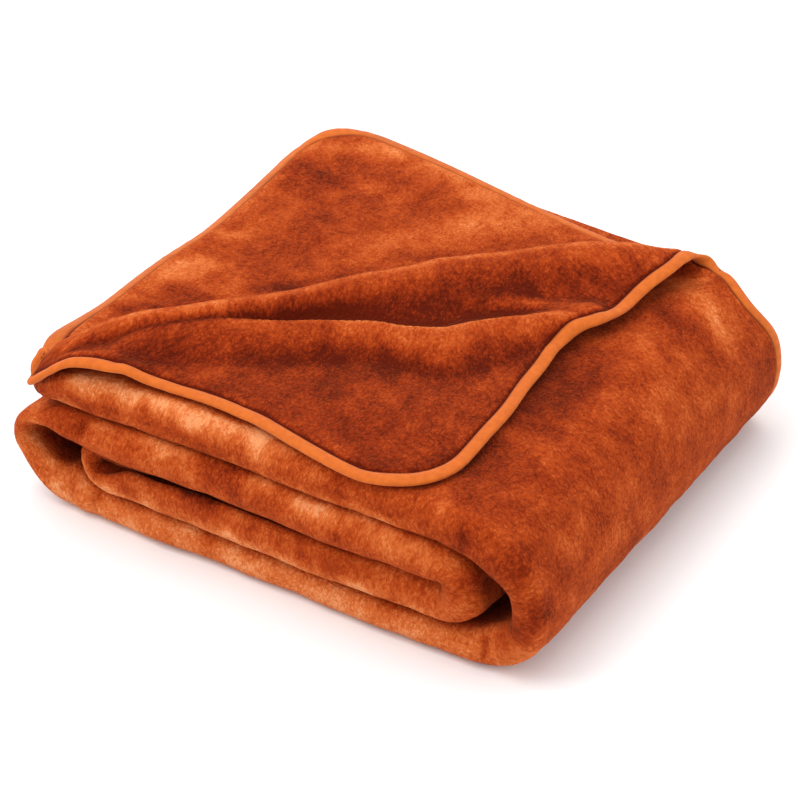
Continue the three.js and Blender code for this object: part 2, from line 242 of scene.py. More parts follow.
@dataclass(frozen=True)
class Sheet:
    """The throw as cut and bound, flat."""

    width: float = 1270.0
    length: float = 1520.0
    corner_radius: float = 46.0
    corner_zone: float = 84.0
    binding_width: float = 8.8
    edge_in_binding: float = 2.4
    cloth_share: float = 0.85
    binding_share: float = 0.74

    def inset(self, x: Array, y: Array) -> Array:
        """Distance in from the nearest edge of the square-cornered sheet."""
        return np.minimum(np.minimum(x, y), np.minimum(self.width - x, self.length - y))

    def rounded(self, x: Array, y: Array) -> tuple[Array, Array]:
        """Moves places of a square-cornered sheet onto the sheet with rounded corners.

        Args:
            x: Places across the square-cornered sheet.
            y: Places along it.

        Returns:
            The places across and along the rounded sheet.
        """
        mirror_x, mirror_y = x > self.width / 2, y > self.length / 2
        side = np.where(mirror_x, self.width - x, x)
        end = np.where(mirror_y, self.length - y, y)
        inset = np.minimum(side, end)
        travel = np.maximum(side, end) - inset
        radius = np.maximum(self.corner_radius - inset, TINY)
        zone = np.maximum(self.corner_zone - inset, 1.0)
        arc = radius * math.pi / 4
        turn = math.pi / 4 - travel / radius
        in_arc = travel < arc
        on_line = radius + (travel - arc) * (zone - radius) / np.maximum(zone - arc, 1.0)
        along = np.where(in_arc, radius - radius * np.sin(turn), on_line)
        off = np.where(in_arc, radius - radius * np.cos(turn), 0.0)
        near = (self.corner_radius > inset) & (travel < zone)
        along, off = np.where(near, along, travel), np.where(near, off, 0.0)
        by_side = side >= end
        new_side = inset + np.where(by_side, along, off)
        new_end = inset + np.where(by_side, off, along)
        return (
            np.where(mirror_x, self.width - new_side, new_side),
            np.where(mirror_y, self.length - new_end, new_end),
        )

    def hem(self, distance: Array, inset: Array) -> tuple[Array, Array]:
        """Place at a distance along the rounded edge, set in from it.

        Args:
            distance: Distance along the edge from the middle of the first corner, by the first end.
            inset: Distance in from the edge.

        Returns:
            The places across and along the sheet.
        """
        radius, quarter = self.corner_radius, self.corner_radius * math.pi / 2
        wide, long = self.width - 2 * radius, self.length - 2 * radius
        lengths = [quarter / 2, wide, quarter, long, quarter, wide, quarter, long, quarter / 2]
        starts = np.concatenate([[0.0], np.cumsum(lengths)[:-1]])
        d = np.mod(distance, sum(lengths))
        k = np.clip(np.searchsorted(starts, d, side="right") - 1, 0, 8)
        left = d - starts[k]
        run = np.choose(k, [left + quarter / 2, left, left, left, left, left, left, left, left])
        side = np.array([3, 0, 0, 1, 1, 2, 2, 3, 3])[k]
        is_arc = np.array([True, False, True, False, True, False, True, False, True])[k]
        turn = np.where(is_arc, run / radius, 0.0)
        far_x, far_y, right_angle = self.width - radius, self.length - radius, math.pi / 2
        centre_x = np.array([radius, radius, far_x, 0, far_x, 0, radius, 0, radius])[k]
        centre_y = np.array([radius, 0, radius, 0, far_y, 0, far_y, 0, radius])[k]
        heading = np.array([2, -1, -1, 0, 0, 1, 1, 2, 2])[k] * right_angle
        out = heading + turn
        arc_x = centre_x + (radius - inset) * np.cos(out)
        arc_y = centre_y + (radius - inset) * np.sin(out)
        line_x = np.choose(side, [radius + left, self.width - inset, far_x - left, inset])
        line_y = np.choose(side, [inset, radius + left, self.length - inset, far_y - left])
        return np.where(is_arc, arc_x, line_x), np.where(is_arc, arc_y, line_y)

    def hem_distance(self, x: float, y: float) -> float:
        """Distance along the edge, as hem() counts it, of a place on one of the four sides.

        Args:
            x: Place across the sheet.
            y: Place along it.

        Returns:
            The distance.
        """
        radius, quarter = self.corner_radius, self.corner_radius * math.pi / 2
        wide, long = self.width - 2 * radius, self.length - 2 * radius
        if y <= 0:
            return quarter / 2 + x - radius
        if x >= self.width:
            return quarter * 1.5 + wide + y - radius
        if y >= self.length:
            return quarter * 2.5 + wide + long + self.width - radius - x
        return quarter * 3.5 + 2 * wide + long + self.length - radius - y


@dataclass(frozen=True)
class CrossFold:
    """The sheet folded in four across its width, measured from the loose long edge of the outer layer."""

    outer_layer: float = 307.0
    outer_front_fold: float = 24.0
    innermost_layer: float = 306.0
    back_fold: float = 8.0
    inner_layer: float = 306.0
    inner_front_fold: float = 8.0
    cloth_share: float = 0.85

    def edges(self) -> Array:
        """Places across the sheet where each part starts.

        Returns:
            The rising places, with 0 for the first.
        """
        parts = [self.outer_layer, self.outer_front_fold, self.innermost_layer]
        parts += [self.back_fold, self.inner_layer, self.inner_front_fold]
        return np.concatenate([[0.0], np.cumsum(parts)])

    def section(self, x: Array, pitch: Array, front: Array) -> tuple[Array, Array]:
        """Place in the folded strip's section.

        Args:
            x: Places across the sheet.
            pitch: Distance between layers there.
            front: Where the folded front edge stands.

        Returns:
            v from front to back, and the offset outwards from the strip's middle.
        """
        outer, inner = 1.5 * pitch, 0.5 * pitch
        line = front + outer + self.cloth_share * pitch / 2
        back = line + self.innermost_layer
        edge = self.edges()
        part = np.clip(np.searchsorted(edge, x, side="right") - 1, 0, 6)
        left = x - edge[part]
        front_turn = math.pi * left / self.outer_front_fold
        back_turn = math.pi * left / self.back_fold
        inner_turn = math.pi * left / self.inner_front_fold
        v = np.select(
            [part == k for k in range(7)],
            [
                line + self.outer_layer - left,
                line - outer * np.sin(front_turn),
                line + left,
                back + inner * np.sin(back_turn),
                back - left,
                line - inner * np.sin(inner_turn),
                line + left,
            ],
        )
        w = np.select(
            [part == k for k in range(7)],
            [
                outer + 0 * left,
                outer * np.cos(front_turn),
                -outer + 0 * left,
                -pitch - inner * np.cos(back_turn),
                -inner + 0 * left,
                -inner * np.cos(inner_turn),
                inner + 0 * left,
            ],
        )
        return v, w


@dataclass(frozen=True)
class Turn:
    """One flat turn of the rolled-up strip, with where its folded front edge stands at both ends."""

    part: Part
    height: float
    pitch: float
    start: float
    end: float
    front_at_start: float
    front_at_end: float


TURNS = table(
    Turn,
    (Part.TOP, 90.4, 6.0, 0, 303, 3, 3),
    (Part.BOTTOM, 9.625, 5.0, 303, 25, 1, -2),
    (Part.UPPER_MIDDLE, 64.3, 7.0, 25, 289, -7, -3),
    (Part.TONGUE, 34.6, 7.1, 289, 45, -1, -1),
    (Part.TUCKED_END, 42.5, 3.7, 45, 210, 8, 27),
)
TOP_TURN = TURNS[0]


@dataclass(frozen=True)
class Stretch:
    """A straight run of the roll, or the half turn from it to the turn after it."""

    turn: Turn
    start: float
    length: float
    side: float
    after: Turn | None = None
    radius: float = 0.0
    centre: float = 0.0
    pitch: float = 0.0
    climbs: bool = False


@dataclass(frozen=True)
class FlatRoll:
    """The strip rolled up in flat turns, in the plane seen from the front."""

    turns: tuple[Turn, ...] = TURNS
    pressed_height: float = 27.5
    pressed_pitch: float = 3.7
    pressed_from: float = 262.0
    pressed_to: float = 222.0
    thin_bend: float = 0.5
    outer_share: float = 1.9

    def stretches(self) -> list[Stretch]:
        """Straight runs and half turns in the order of Part, with where each starts along the throw.

        Returns:
            The stretches, from the outer end.
        """
        found, start = [], 0.0
        for turn, after in zip(self.turns, self.turns[1:] + (None,)):
            length, side = abs(turn.end - turn.start), math.copysign(1, turn.end - turn.start)
            found.append(Stretch(turn, start, length, side))
            start += length
            if after is None:
                break
            height, pitch = turn.height, turn.pitch
            if turn.part is Part.TONGUE:
                height, pitch = self.pressed_height, self.pressed_pitch
            radius, centre = abs(after.height - height) / 2, (after.height + height) / 2
            climbs, length = after.height > height, math.pi * radius
            found.append(Stretch(turn, start, length, side, after, radius, centre, pitch, climbs))
            start += length
        return found

    def on_run(self, run: Stretch, gone: Array) -> tuple[Array, ...]:
        """What along() gives on a straight run, at distances from its start.

        Args:
            run: The straight run.
            gone: Distances from its start.

        Returns:
            The values of along(), in its order.
        """
        turn = run.turn
        u = turn.start + run.side * gone
        height, pitch = turn.height + 0 * u, turn.pitch + 0 * u
        if turn.part is Part.TONGUE:
            pressed = soft((self.pressed_from - u) / (self.pressed_from - self.pressed_to))
            height, pitch = mix(height, self.pressed_height, pressed), mix(pitch, self.pressed_pitch, pressed)
        front = mix(turn.front_at_start, turn.front_at_end, gone / run.length)
        return u, height, 0 * u, run.side + 0 * u, pitch, front

    def on_bend(self, bend: Stretch, gone: Array) -> tuple[Array, ...]:
        """What along() gives on a half turn, at distances from its start.

        Args:
            bend: The half turn.
            gone: Distances from its start.

        Returns:
            The values of along(), in its order.
        """
        share = gone / bend.length
        out_u = bend.side * np.sin(math.pi * share)
        out_z = (-1 if bend.climbs else 1) * np.cos(math.pi * share)
        pitch = mix(bend.pitch, bend.after.pitch, soft(share))
        thinner = 0 * pitch
        if bend.turn.part is Part.BOTTOM:
            thinner = self.thin_bend * pitch * np.sin(math.pi * share)
        radius = bend.radius + self.outer_share * thinner
        u, z = bend.turn.end + radius * out_u, bend.centre + radius * out_z
        front = mix(bend.turn.front_at_end, bend.after.front_at_start, share)
        return u, z, out_u, out_z, pitch - thinner, front

    def along(self, y: Array) -> dict[str, Array]:
        """Middle of the strip at a distance along the throw.

        Args:
            y: Distances along the throw.

        Returns:
            Place u and z, outward direction out_u and out_z, pitch and front.
        """
        stretches = self.stretches()
        starts = np.array([stretch.start for stretch in stretches])
        index = np.clip(np.searchsorted(starts, y, side="right") - 1, 0, len(stretches) - 1)
        result = {name: np.zeros_like(y) for name in ("u", "z", "out_u", "out_z", "pitch", "front")}
        for k, stretch in enumerate(stretches):
            here = index == k
            values_at = self.on_bend if stretch.after else self.on_run
            for name, value in zip(result, values_at(stretch, y[here] - stretch.start)):
                result[name][here] = value
        return result


@dataclass(frozen=True)
class CrestPlace:
    """Where the crest of the turned-back roll lies in plan, at a distance along its fold line."""

    name: str
    along: float
    u: float
    v: float
    radius: float


@dataclass(frozen=True)
class HemPlace:
    """Where a place of the loose corner, given on the flat sheet, lies in plan."""

    name: str
    x: float
    y: float
    u: float
    v: float


@dataclass(frozen=True)
class WaveRow:
    """Section of the turned-back layer across its ridges: distances past the roll's crest, and heights."""

    along: float
    valley: float
    valley_height: float
    ridge: float
    ridge_height: float
    trough: float
    trough_height: float
    swell: float
    swell_height: float
    end: float = 190.0


CREST = table(
    CrestPlace,
    ("left tip", 30, 10, 8, 4.2),
    ("above the tip", 42, 18, 21, 5.6),
    ("left shoulder", 58, 29, 37, 7.3),
    ("past the shoulder", 76, 43, 53, 9.0),
    ("left quarter", 98, 66, 72, 10.3),
    ("past the left quarter", 116, 84, 87, 11.0),
    ("left of middle", 136, 101, 102, 11.3),
    ("middle", 183, 131, 141, 11.5),
    ("right of middle", 231, 162, 180, 11.5),
    ("before the right quarter", 256, 178, 200, 11.5),
    ("right quarter", 287, 202, 222, 11.5),
    ("right shoulder", 340, 240, 258, 11.5),
    ("before the right end", 362, 264, 276, 10.6),
    ("right end", 391, 293, 296, 8.4),
)
ROLL_ENDS = table(
    HemPlace,
    ("left, where the cloth turns up", 0, 0, -5, -5),
    ("left, outermost", 15, 0, -4, -16),
    ("right, outermost", 403, 0, 30, -5),
    ("right, where the cloth turns up", 419, 0, 22, -2),
)

HEM = table(
    HemPlace,
    ("before the tip", 276, 5, 7, 5),
    ("tip", 262, 5, 9, -3),
    ("past the tip", 251, 5, 19, -1),
    ("first arch", 239, 5, 33, 7),
    ("second arch", 215, 5, 57, 14),
    ("left front", 195, 5, 77, 19),
    ("front, first third", 163, 5, 110, 23),
    ("front, middle", 126, 5, 148, 21),
    ("front, second third", 95, 5, 180, 15),
    ("right front", 66, 5, 210, 10),
    ("before the corner", 45, 5, 232, 8),
    ("into the corner", 26, 10, 254, 15),
    ("corner", 17, 17, 263, 22),
    ("out of the corner", 10, 27, 270, 32),
    ("side, near", 5, 50, 275, 57),
    ("side, first third", 5, 70, 274, 81),
    ("side, middle", 5, 88, 273, 104),
    ("below the second ridge", 5, 109, 269, 130),
    ("up the second ridge", 5, 130, 267, 156),
    ("near the second ridge", 5, 142, 265, 171),
    ("second ridge", 5, 150, 265, 181),
    ("top of the bend", 5, 155, 266, 188),
    ("bend", 5, 163, 269, 197),
    ("between the ridges", 5, 172, 275, 207),
    ("dip", 5, 183, 279, 220),
    ("out of the dip", 5, 194, 280, 235),
    ("up the roll", 5, 207, 281, 249),
    ("near the crest", 5, 222, 284, 265),
    ("under the crest", 5, 236, 288, 280),
)

# The loose edges of the layer below, which shows beside the turned-back corner
LOWER_HEM = table(
    HemPlace,
    ("left edge, by the front", 960, 0, -9, 19),
    ("left edge, front", 975, 0, -12, 35),
    ("left edge, bulge", 1003, 0, -14, 64),
    ("left edge, near", 1030, 0, -11, 90),
    ("left edge, middle", 1060, 0, -10, 121),
    ("left edge, past the middle", 1094, 0, -8, 155),
    ("left edge, hollow", 1128, 0, -4, 189),
    ("left edge, far", 1168, 0, -5, 232),
    ("left edge, back", 1215, 0, -8, 279),
    ("back corner", 1256, 14, 3, 334),
    ("back edge, left", 1270, 46, 38, 349),
    ("back edge, near", 1270, 76, 76, 344),
    ("back edge, middle", 1270, 136, 136, 333),
    ("back edge, right", 1270, 196, 196, 322),
    ("back edge, under the roll", 1270, 240, 239, 317),
    ("back edge, end", 1270, 300, 300, 313),
    ("front, left", 957, 20, 20, 16.5),
    ("front, middle", 957, 150, 150, 16.5),
    ("front, right", 957, 300, 300, 16.5),
    ("middle", 1110, 110, 110, 169.5),
    ("right", 1110, 230, 230, 167),
    ("far right", 1110, 300, 300, 166),
)

WAVES = table(
    WaveRow,
    (0, 8, 1.5, 16, 1.5, 30, 1.0, 60, 1.0),
    (30, 12, 3.5, 22, 4.5, 40, 1.5, 75, 2.5),
    (52, 7, 5.0, 14, 7.5, 36, 1.5, 80, 3.0),
    (73, 5, 6.5, 12, 10.0, 40, 1.5, 85, 3.0),
    (103, 5, 6.5, 12, 12.0, 44, 1.0, 90, 3.0),
    (127, 7, 5.0, 16, 12.5, 50, 1.0, 95, 3.0),
    (161, 16, 4.5, 28, 12.0, 58, 1.0, 100, 3.0),
    (193, 29, 3.0, 42, 12.0, 74, 0.8, 115, 3.0),
    (212, 38, 2.5, 53, 12.0, 88, 0.8, 125, 3.0),
    (231, 45, 2.5, 61, 12.0, 100, 0.8, 130, 2.5),
    (259, 46, 2.5, 62, 12.0, 96, 1.0, 120, 1.5),
    (293, 45, 2.5, 61, 12.0, 78, 3.0, 100, 1.0),
    (330, 46, 3.5, 60, 7.0, 78, 2.0, 100, 1.0),
    (400, 46, 6.5, 62, 6.0, 78, 3.0, 100, 1.0),
)


@dataclass(frozen=True)
class PaintedShadingBand:
    """Band of painted light or shade, by its tone's sign, along a line of the waves, at a share of its
    distance and an offset.
    """

    name: str
    wave: Wave
    share: float
    offset: float
    reach: float
    tone: float
    in_deep: bool


# Painted highlights on the roll's crest and up and over the ridge, painted shade down into the valley and
# before the trough.
PAINTED_WAVE_SHADING = table(
    PaintedShadingBand,
    ("before the crest", Wave.CREST, 1.0, -2, 3.5, 0.20, False),
    ("down into the valley", Wave.VALLEY, 0.55, 2, 10.0, -0.16, True),
    ("floor of the valley", Wave.VALLEY, 1.0, -1, 5.0, -0.15, True),
    ("up the ridge", Wave.RIDGE, 1.0, -3, 3.0, 0.24, True),
    ("over the ridge", Wave.RIDGE, 1.0, 9, 5.0, 0.10, True),
    ("before the trough", Wave.TROUGH, 1.0, -8, 7.0, -0.10, True),
)


@dataclass(frozen=True)
class Ridge:
    """A soft ridge, or a trough where its height is below nothing, along a line in plan."""

    name: str
    from_u: float
    from_v: float
    to_u: float
    to_v: float
    half_width: float
    height_from: float
    height_to: float

    def height(self, u: Array, v: Array) -> Array:
        """Height of the ridge over places in plan.

        Args:
            u: Places in plan, from left to right.
            v: The same, from front to back.

        Returns:
            The heights.
        """
        along_u, along_v = self.to_u - self.from_u, self.to_v - self.from_v
        length = math.hypot(along_u, along_v)
        along = ((u - self.from_u) * along_u + (v - self.from_v) * along_v) / length
        aside = ((v - self.from_v) * along_u - (u - self.from_u) * along_v) / length
        beyond = np.maximum(0, np.maximum(-along, along - length))
        crest = mix(self.height_from, self.height_to, np.clip(along / length, 0, 1))
        return crest * np.exp(-(aside**2 + beyond**2) / self.half_width**2)


RIDGES = table(
    Ridge,
    ("third ridge", 196, 176, 268, 212, 7.0, 1.0, 4.0),
    ("arch of the hem", 34, 4, 62, 12, 13.0, 4.5, 6.0),
    ("front edge, lifted", 100, 22, 140, 20, 12.0, -1.5, -1.5),
)


@dataclass(frozen=True)
class Push:
    """Soft push of the whole bundle near one place: the place, the reach each way, and the move."""

    name: str
    u: float
    v: float
    z: float
    reach_u: float
    reach_v: float
    reach_z: float
    move_u: float
    move_v: float
    move_z: float

    def move(self, points: Array) -> Array:
        """Moves of points by this push.

        Args:
            points: One row of u, v and z each.

        Returns:
            One row of moves for each point.
        """
        place, reach = (self.u, self.v, self.z), (self.reach_u, self.reach_v, self.reach_z)
        gap = (points - np.array(place)) / np.array(reach)
        return np.exp(-(gap * gap).sum(1))[:, None] * np.array([self.move_u, self.move_v, self.move_z])


PUSHES = table(
    Push,
    ("top pass sinks on the left", 5, 0, 79, 85, 60, 15, 0, 0, -5.0),
    ("left tip hangs", 4, -4, 104, 13, 15, 17, -1.0, 0, -15.0),
    ("tucked end sags at the back", 150, 348, 42, 90, 22, 14, 0, 0, -5.0),
    ("left edge stands up", -9, 34, 87, 14, 24, 12, 0, 0, 8.0),
    ("far corner of the wrap, high", 334, 325, 92, 42, 110, 24, 0, -17.0, 0),
    ("far corner of the wrap, low", 350, 325, 30, 45, 110, 40, 0, -8.0, 0),
    ("pocket of the left bend stands high", 12, 0, 35, 24, 30, 22, 0, 0, 15.0),
    ("left bend fills below", 12, 0, 23, 22, 30, 11, 0, 0, 9.0),
    ("left end of the top pass, drawn in", -3, 2, 90, 10, 25, 9, 6.0, 0, 0),
    ("pucker where the wrap meets the bottom", 321, 0, 16, 5, 10, 10, 0, 3.5, 0),
    ("dent above the pocket", 40, -4, 70, 6, 14, 10, 0, 4.0, -1.0),
    ("first pucker of the bottom", 28, 2, 16, 4, 12, 9, 0, 3.0, 0),
    ("between the puckers", 36, 0, 14, 5, 12, 9, 0, -2.0, 0),
    ("second pucker of the bottom", 45, 2, 16, 4, 12, 9, 0, 3.0, 0),
    ("bend hangs over the nose", 316, 2, 76, 22, 30, 13, 0, 0, -8.0),
    ("groove under the top pass, left", 80, 8, 80, 80, 9, 5, 0, -5.0, 0),
    ("groove under the top pass, right", 220, 8, 81, 80, 9, 5, 0, -5.0, 0),
    ("groove over the tongue, left", 110, 6, 49, 45, 10, 5, 0, -3.0, 0),
    ("groove over the tongue, middle", 185, 6, 49, 45, 10, 5, 0, -3.0, 0),
    ("groove over the tongue, right", 260, 6, 49, 35, 10, 5, 0, -3.0, 0),
    ("bend fills over the bottom", 322, 4, 24, 20, 30, 13, -2.0, 0, 9.0),
    ("nose of the inner turn", 312, 5, 50, 16, 30, 12, -6.0, 0, 1.0),
    ("hem lifted beside the roll", 307, 307, 101, 8, 14, 9, 0, 0, 3.8),
    ("end of the roll, lower", 297, 304, 112, 6, 12, 8, 0, 0, -3.0),
    ("front of the top pass, middle", 190, 0, 88, 30, 12, 12, 0, -2.0, 0),
    ("front of the upper middle, hollow", 135, 0, 66, 26, 14, 10, 0, 2.5, 0),
    ("front of the upper middle, full", 215, 0, 64, 36, 14, 12, 0, -2.5, 0),
    ("front of the upper middle, left", 70, 0, 66, 22, 14, 12, 0, -1.5, 0),
    ("tongue stands up to the turn above", 165, 4, 44, 105, 14, 6, 0, 0, 3.0),
    ("tongue full", 180, 0, 34, 40, 12, 12, 0, -2.0, 0),
    ("tongue hollow", 245, 0, 40, 16, 12, 10, 0, 2.0, 0),
    ("bottom, first sag", 95, 0, 8, 24, 14, 10, 0, -2.0, 0),
    ("bottom, second sag", 250, 0, 8, 26, 14, 10, 0, -2.0, 0),
)


@dataclass(frozen=True)
class NapAndPaintedLightStroke:
    """A line from one place to another, lighter or darker: some mark nap brushed the other way, others
    painted light and shade.
    """

    name: str
    from_u: float
    from_v: float
    from_z: float
    to_u: float
    to_v: float
    to_z: float
    reach: float
    tone: float

    def share(self, points: Array) -> Array:
        """Strength of the stroke at points in the bundle.

        Args:
            points: One row of u, v and z each.

        Returns:
            The strengths, 1 on the line and fading away from it.
        """
        start = np.array([self.from_u, self.from_v, self.from_z])
        line = np.array([self.to_u, self.to_v, self.to_z]) - start
        along = np.clip((points - start) @ line / max(float(line @ line), TINY), 0, 1)
        gap = points - start - along[:, None] * line
        return np.exp(-(gap * gap).sum(1) / self.reach**2)


NAP_AND_PAINTED_LIGHT_STROKES = table(
    NapAndPaintedLightStroke,
    ("back corner, light", 10, 306, 94, 58, 334, 94, 10, 0.20),
    ("back corner, dark", 17, 272, 94, 36, 279, 94, 16, -0.20),
    ("back right, light", 83, 326, 94, 178, 305, 94, 14, 0.22),
    ("right of middle, light", 114, 243, 94, 148, 283, 94, 18, 0.18),
    ("left, light", 12, 134, 94, 36, 162, 94, 10, 0.28),
    ("left swirl", 20, 184, 94, 24, 188, 94, 8, 0.18),
    # Painted shadow on the layer behind the roll's crest.
    ("behind the crest, dark", 82, 150, 94, 116, 184, 94, 9, -0.30),
    ("left behind the crest, dark", 12, 84, 94, 50, 118, 94, 7, -0.20),
    ("left lumps, light", 5, 96, 94, 10, 114, 94, 5, 0.20),
    ("beside the hem", 251, 112, 104, 249, 172, 110, 8, 0.14),
    # Painted highlight along the third ridge.
    ("third ridge", 215, 190, 112, 250, 212, 112, 6, 0.18),
    ("right patch", 296, 284, 103, 334, 268, 101, 15, 0.34),
    ("right patch, end", 334, 268, 98, 352, 262, 80, 10, 0.26),
    # Painted shadow on the layer beside the flap's hem.
    ("beside the hem, dark", 284, 108, 102, 272, 178, 102, 10, -0.14),
    ("before the corner, dark", 264, 6, 100, 284, 82, 102, 10, -0.12),
    # Painted light towards the right side.
    ("right middle", 308, 206, 102, 350, 186, 98, 22, 0.14),
    ("front, light", 36, 8, 98, 165, 14, 99, 9, 0.46),
    ("front, light end", 165, 13, 99, 210, 6, 98, 8, 0.22),
    ("front, dark", 28, 3, 89, 120, 4, 93, 6, -0.12),
    ("front, dark spot", 190, 11, 99, 198, 11, 99, 6, -0.18),
    ("bend, dark", 300, 2, 84, 334, 6, 78, 13, -0.20),
    ("pocket, lit floor", -2, 4, 36, 30, 4, 34, 9, 0.34),
    ("upper middle, dark", 132, 2, 74, 146, 2, 70, 11, -0.20),
    # Painted shade in the crease of the upper middle.
    ("upper middle, crease", 84, 3, 51, 132, 3, 49, 6, -0.30),
    # Painted highlights along the top edge of the upper middle.
    ("upper middle, light edge", 20, 0, 78, 282, 2, 79, 5, 0.28),
    ("upper middle, light edge by the nose", 200, 0, 76, 296, 2, 68, 7, 0.20),
    # Painted highlight on the tongue's lower rim.
    ("tongue, light rim", 40, 0, 26, 296, 1, 26, 7, 0.36),
    # Painted light on the front of the bottom turn.
    ("bottom, light", 20, 0, 8, 300, 0, 8, 12, 0.32),
    # Painted highlight on the rim of the left loop.
    ("left loop, rim", -8, 4, 40, 4, 6, 70, 9, 0.32),
    ("wrap, foot", 318, 4, 14, 345, 10, 18, 12, 0.16),
    ("wrap, edge", 344, 6, 46, 332, 0, 30, 11, -0.22),
    ("right of the flap, dark", 290, 150, 102, 318, 190, 102, 16, -0.10),
    # Painted light on the right face.
    ("right face", 350, 50, 45, 352, 220, 60, 42, 0.11),
)


@dataclass
class TurnedCorner:
    """The corner of the outer layer, rolled back over a slanting fold line."""

    line_u: float = 0.0
    line_v: float = 17.0
    angle: float = 46.6
    crest: tuple[CrestPlace, ...] = CREST
    hem: tuple[HemPlace, ...] = HEM
    roll_ends: tuple[HemPlace, ...] = ROLL_ENDS
    lower_hem: tuple[HemPlace, ...] = LOWER_HEM
    waves: tuple[WaveRow, ...] = WAVES
    ridges: tuple[Ridge, ...] = RIDGES
    bands: tuple[PaintedShadingBand, ...] = PAINTED_WAVE_SHADING
    joins_over: float = 7.0
    fades_under: float = 45.0
    fades_from: float = 280.0
    fades_over: float = 70.0
    deep_from: float = 90.0
    deep_over: float = 70.0
    deep_to: float = 330.0
    deep_fades: float = 60.0
    along_u: float = field(init=False)
    along_v: float = field(init=False)
    crest_along: tuple[float, ...] = field(init=False)
    crest_across: tuple[float, ...] = field(init=False)
    moves: SoftMove = field(init=False)
    lower_moves: SoftMove = field(init=False)

    def __post_init__(self) -> None:
        """Fits the fields of moves to the places of the crest and of the hems."""
        turn = math.radians(self.angle)
        self.along_u, self.along_v = math.cos(turn), math.sin(turn)

        def shift(place: CrestPlace | HemPlace, u: float, v: float) -> tuple[float, float]:
            """Move that takes u and v of the plain fold to where the place lies."""
            return place.u - u, self.before_spread(place.u, place.v) - v

        places, moves = [], []
        for place in self.crest:
            places.append((place.along, 0.0))
            moves.append(shift(place, *self.plan(place.along, 0.0)))
        for place in self.roll_ends:
            places.append((place.x, 0.0))
            moves.append((place.u, place.v))
        for place in self.hem:
            along, beyond = self.on_line(place.y, self.flat_v(place.x))
            back = beyond - math.pi * float(self.radius(np.array([along]))[0])
            places.append((along, back))
            moves.append(shift(place, *self.plan(along, back)))
        self.moves = SoftMove(np.array(places), np.array(moves))
        crest = [self.across_line(place.u, self.before_spread(place.u, place.v)) for place in self.crest]
        self.crest_along, self.crest_across = zip(*crest)
        flat = [(place.y, self.flat_v(place.x)) for place in self.lower_hem]
        moves = [shift(place, u, v) for place, (u, v) in zip(self.lower_hem, flat)]
        self.lower_moves = SoftMove(np.array(flat), np.array(moves))

    @staticmethod
    def flat_v(x: float) -> float:
        """Where a place across the sheet lies from front to back before anything is turned."""
        place, pitch, front = (np.array([float(n)]) for n in (x, TOP_TURN.pitch, TOP_TURN.front_at_start))
        return float(CrossFold().section(place, pitch, front)[0][0])

    @staticmethod
    def before_spread(u: Array | float, v: Array | float) -> Array | float:
        """Takes the spread of the bundle's back off a place in plan, which is added to everything later."""
        return v - BACK_SPREAD * (v / BUNDLE_DEPTH) ** 2 * (1 - u / BUNDLE_WIDTH)

    def on_line(self, u: Array, v: Array) -> tuple[Array, Array]:
        """Distance along the fold line, and past it on the side that is turned back."""
        along = (u - self.line_u) * self.along_u + (v - self.line_v) * self.along_v
        return along, (v - self.line_v) * self.along_u - (u - self.line_u) * self.along_v

    def plan(self, along: Array, back: Array) -> tuple[Array, Array]:
        """Place in plan, at a distance along the fold line and back over the bundle."""
        u = self.line_u + along * self.along_u + back * self.along_v
        return u, self.line_v + along * self.along_v - back * self.along_u

    def across_line(self, u: Array, v: Array) -> tuple[Array, Array]:
        """Distance along the fold line, and over the bundle from it, of a place in plan."""
        along, beyond = self.on_line(u, v)
        return along, -beyond

    def radius(self, along: Array) -> Array:
        """Radius of the roll at a distance along the fold line."""
        return flowing(along, [place.along for place in self.crest], [place.radius for place in self.crest])

    def column(self, name: str, along: Array) -> Array:
        """One column of the table of waves, read along the fold line."""
        return flowing(along, [row.along for row in self.waves], [getattr(row, name) for row in self.waves])

    def wave_height(self, along: Array, past: Array, crest: Array) -> Array:
        """Height of the turned-back layer over its rest, by its waves.

        Args:
            along: Distances along the fold line, in the finished place.
            past: Distances past the crest of the roll, in the finished place.
            crest: Height of the crest.

        Returns:
            The heights.
        """
        _, *lines, end = Wave
        places = [0.0 * along] + [self.column(line.value, along) for line in (*lines, end)]
        heights = [crest] + [self.column(line.value + "_height", along) for line in lines] + [0.0 * along]
        height = heights[0]
        for k in range(len(places) - 1):
            share = (past - places[k]) / (places[k + 1] - places[k])
            height = height + (heights[k + 1] - heights[k]) * soft(share)
        return height

    def wave_tone(self, points: Array) -> Array:
        """Painted light and shade of the turned-back layer: highlights on its crest and ridge, shade in its
        valley and before its trough.

        Args:
            points: One row of u, v and z each.

        Returns:
            What is added to the tone.
        """
        along, over = self.across_line(points[:, 0], self.before_spread(points[:, 0], points[:, 1]))
        past = over - flowing(along, self.crest_along, self.crest_across)
        deep = soft((along - self.deep_from) / self.deep_over)
        deep = deep * soft((self.deep_to - along) / self.deep_fades)
        tone = 0.0 * past
        for band in self.bands:
            line = 0.0 * past if band.wave is Wave.CREST else self.column(band.wave.value, along)
            place = line * band.share + band.offset
            strength = band.tone * (deep if band.in_deep else 1.0)
            tone = tone + strength * np.exp(-(((past - place) / band.reach) ** 2))
        return tone

    def under_move(self, u: Array, v: Array) -> tuple[Array, Array]:
        """Moves of the outer layer where it lies flat, before the fold line.

        Args:
            u: Places in plan, from left to right.
            v: The same, from front to back.

        Returns:
            The moves along u and v.
        """
        along, beyond = self.on_line(u, v)
        move_u, move_v = self.moves.at(along, np.maximum(0, beyond - math.pi * self.radius(along)))
        fades = 1 - soft((u - self.fades_from) / self.fades_over)
        follows = np.where(beyond > 0, 1.0, soft(1 + beyond / self.fades_under) * fades)
        return follows * move_u, follows * move_v

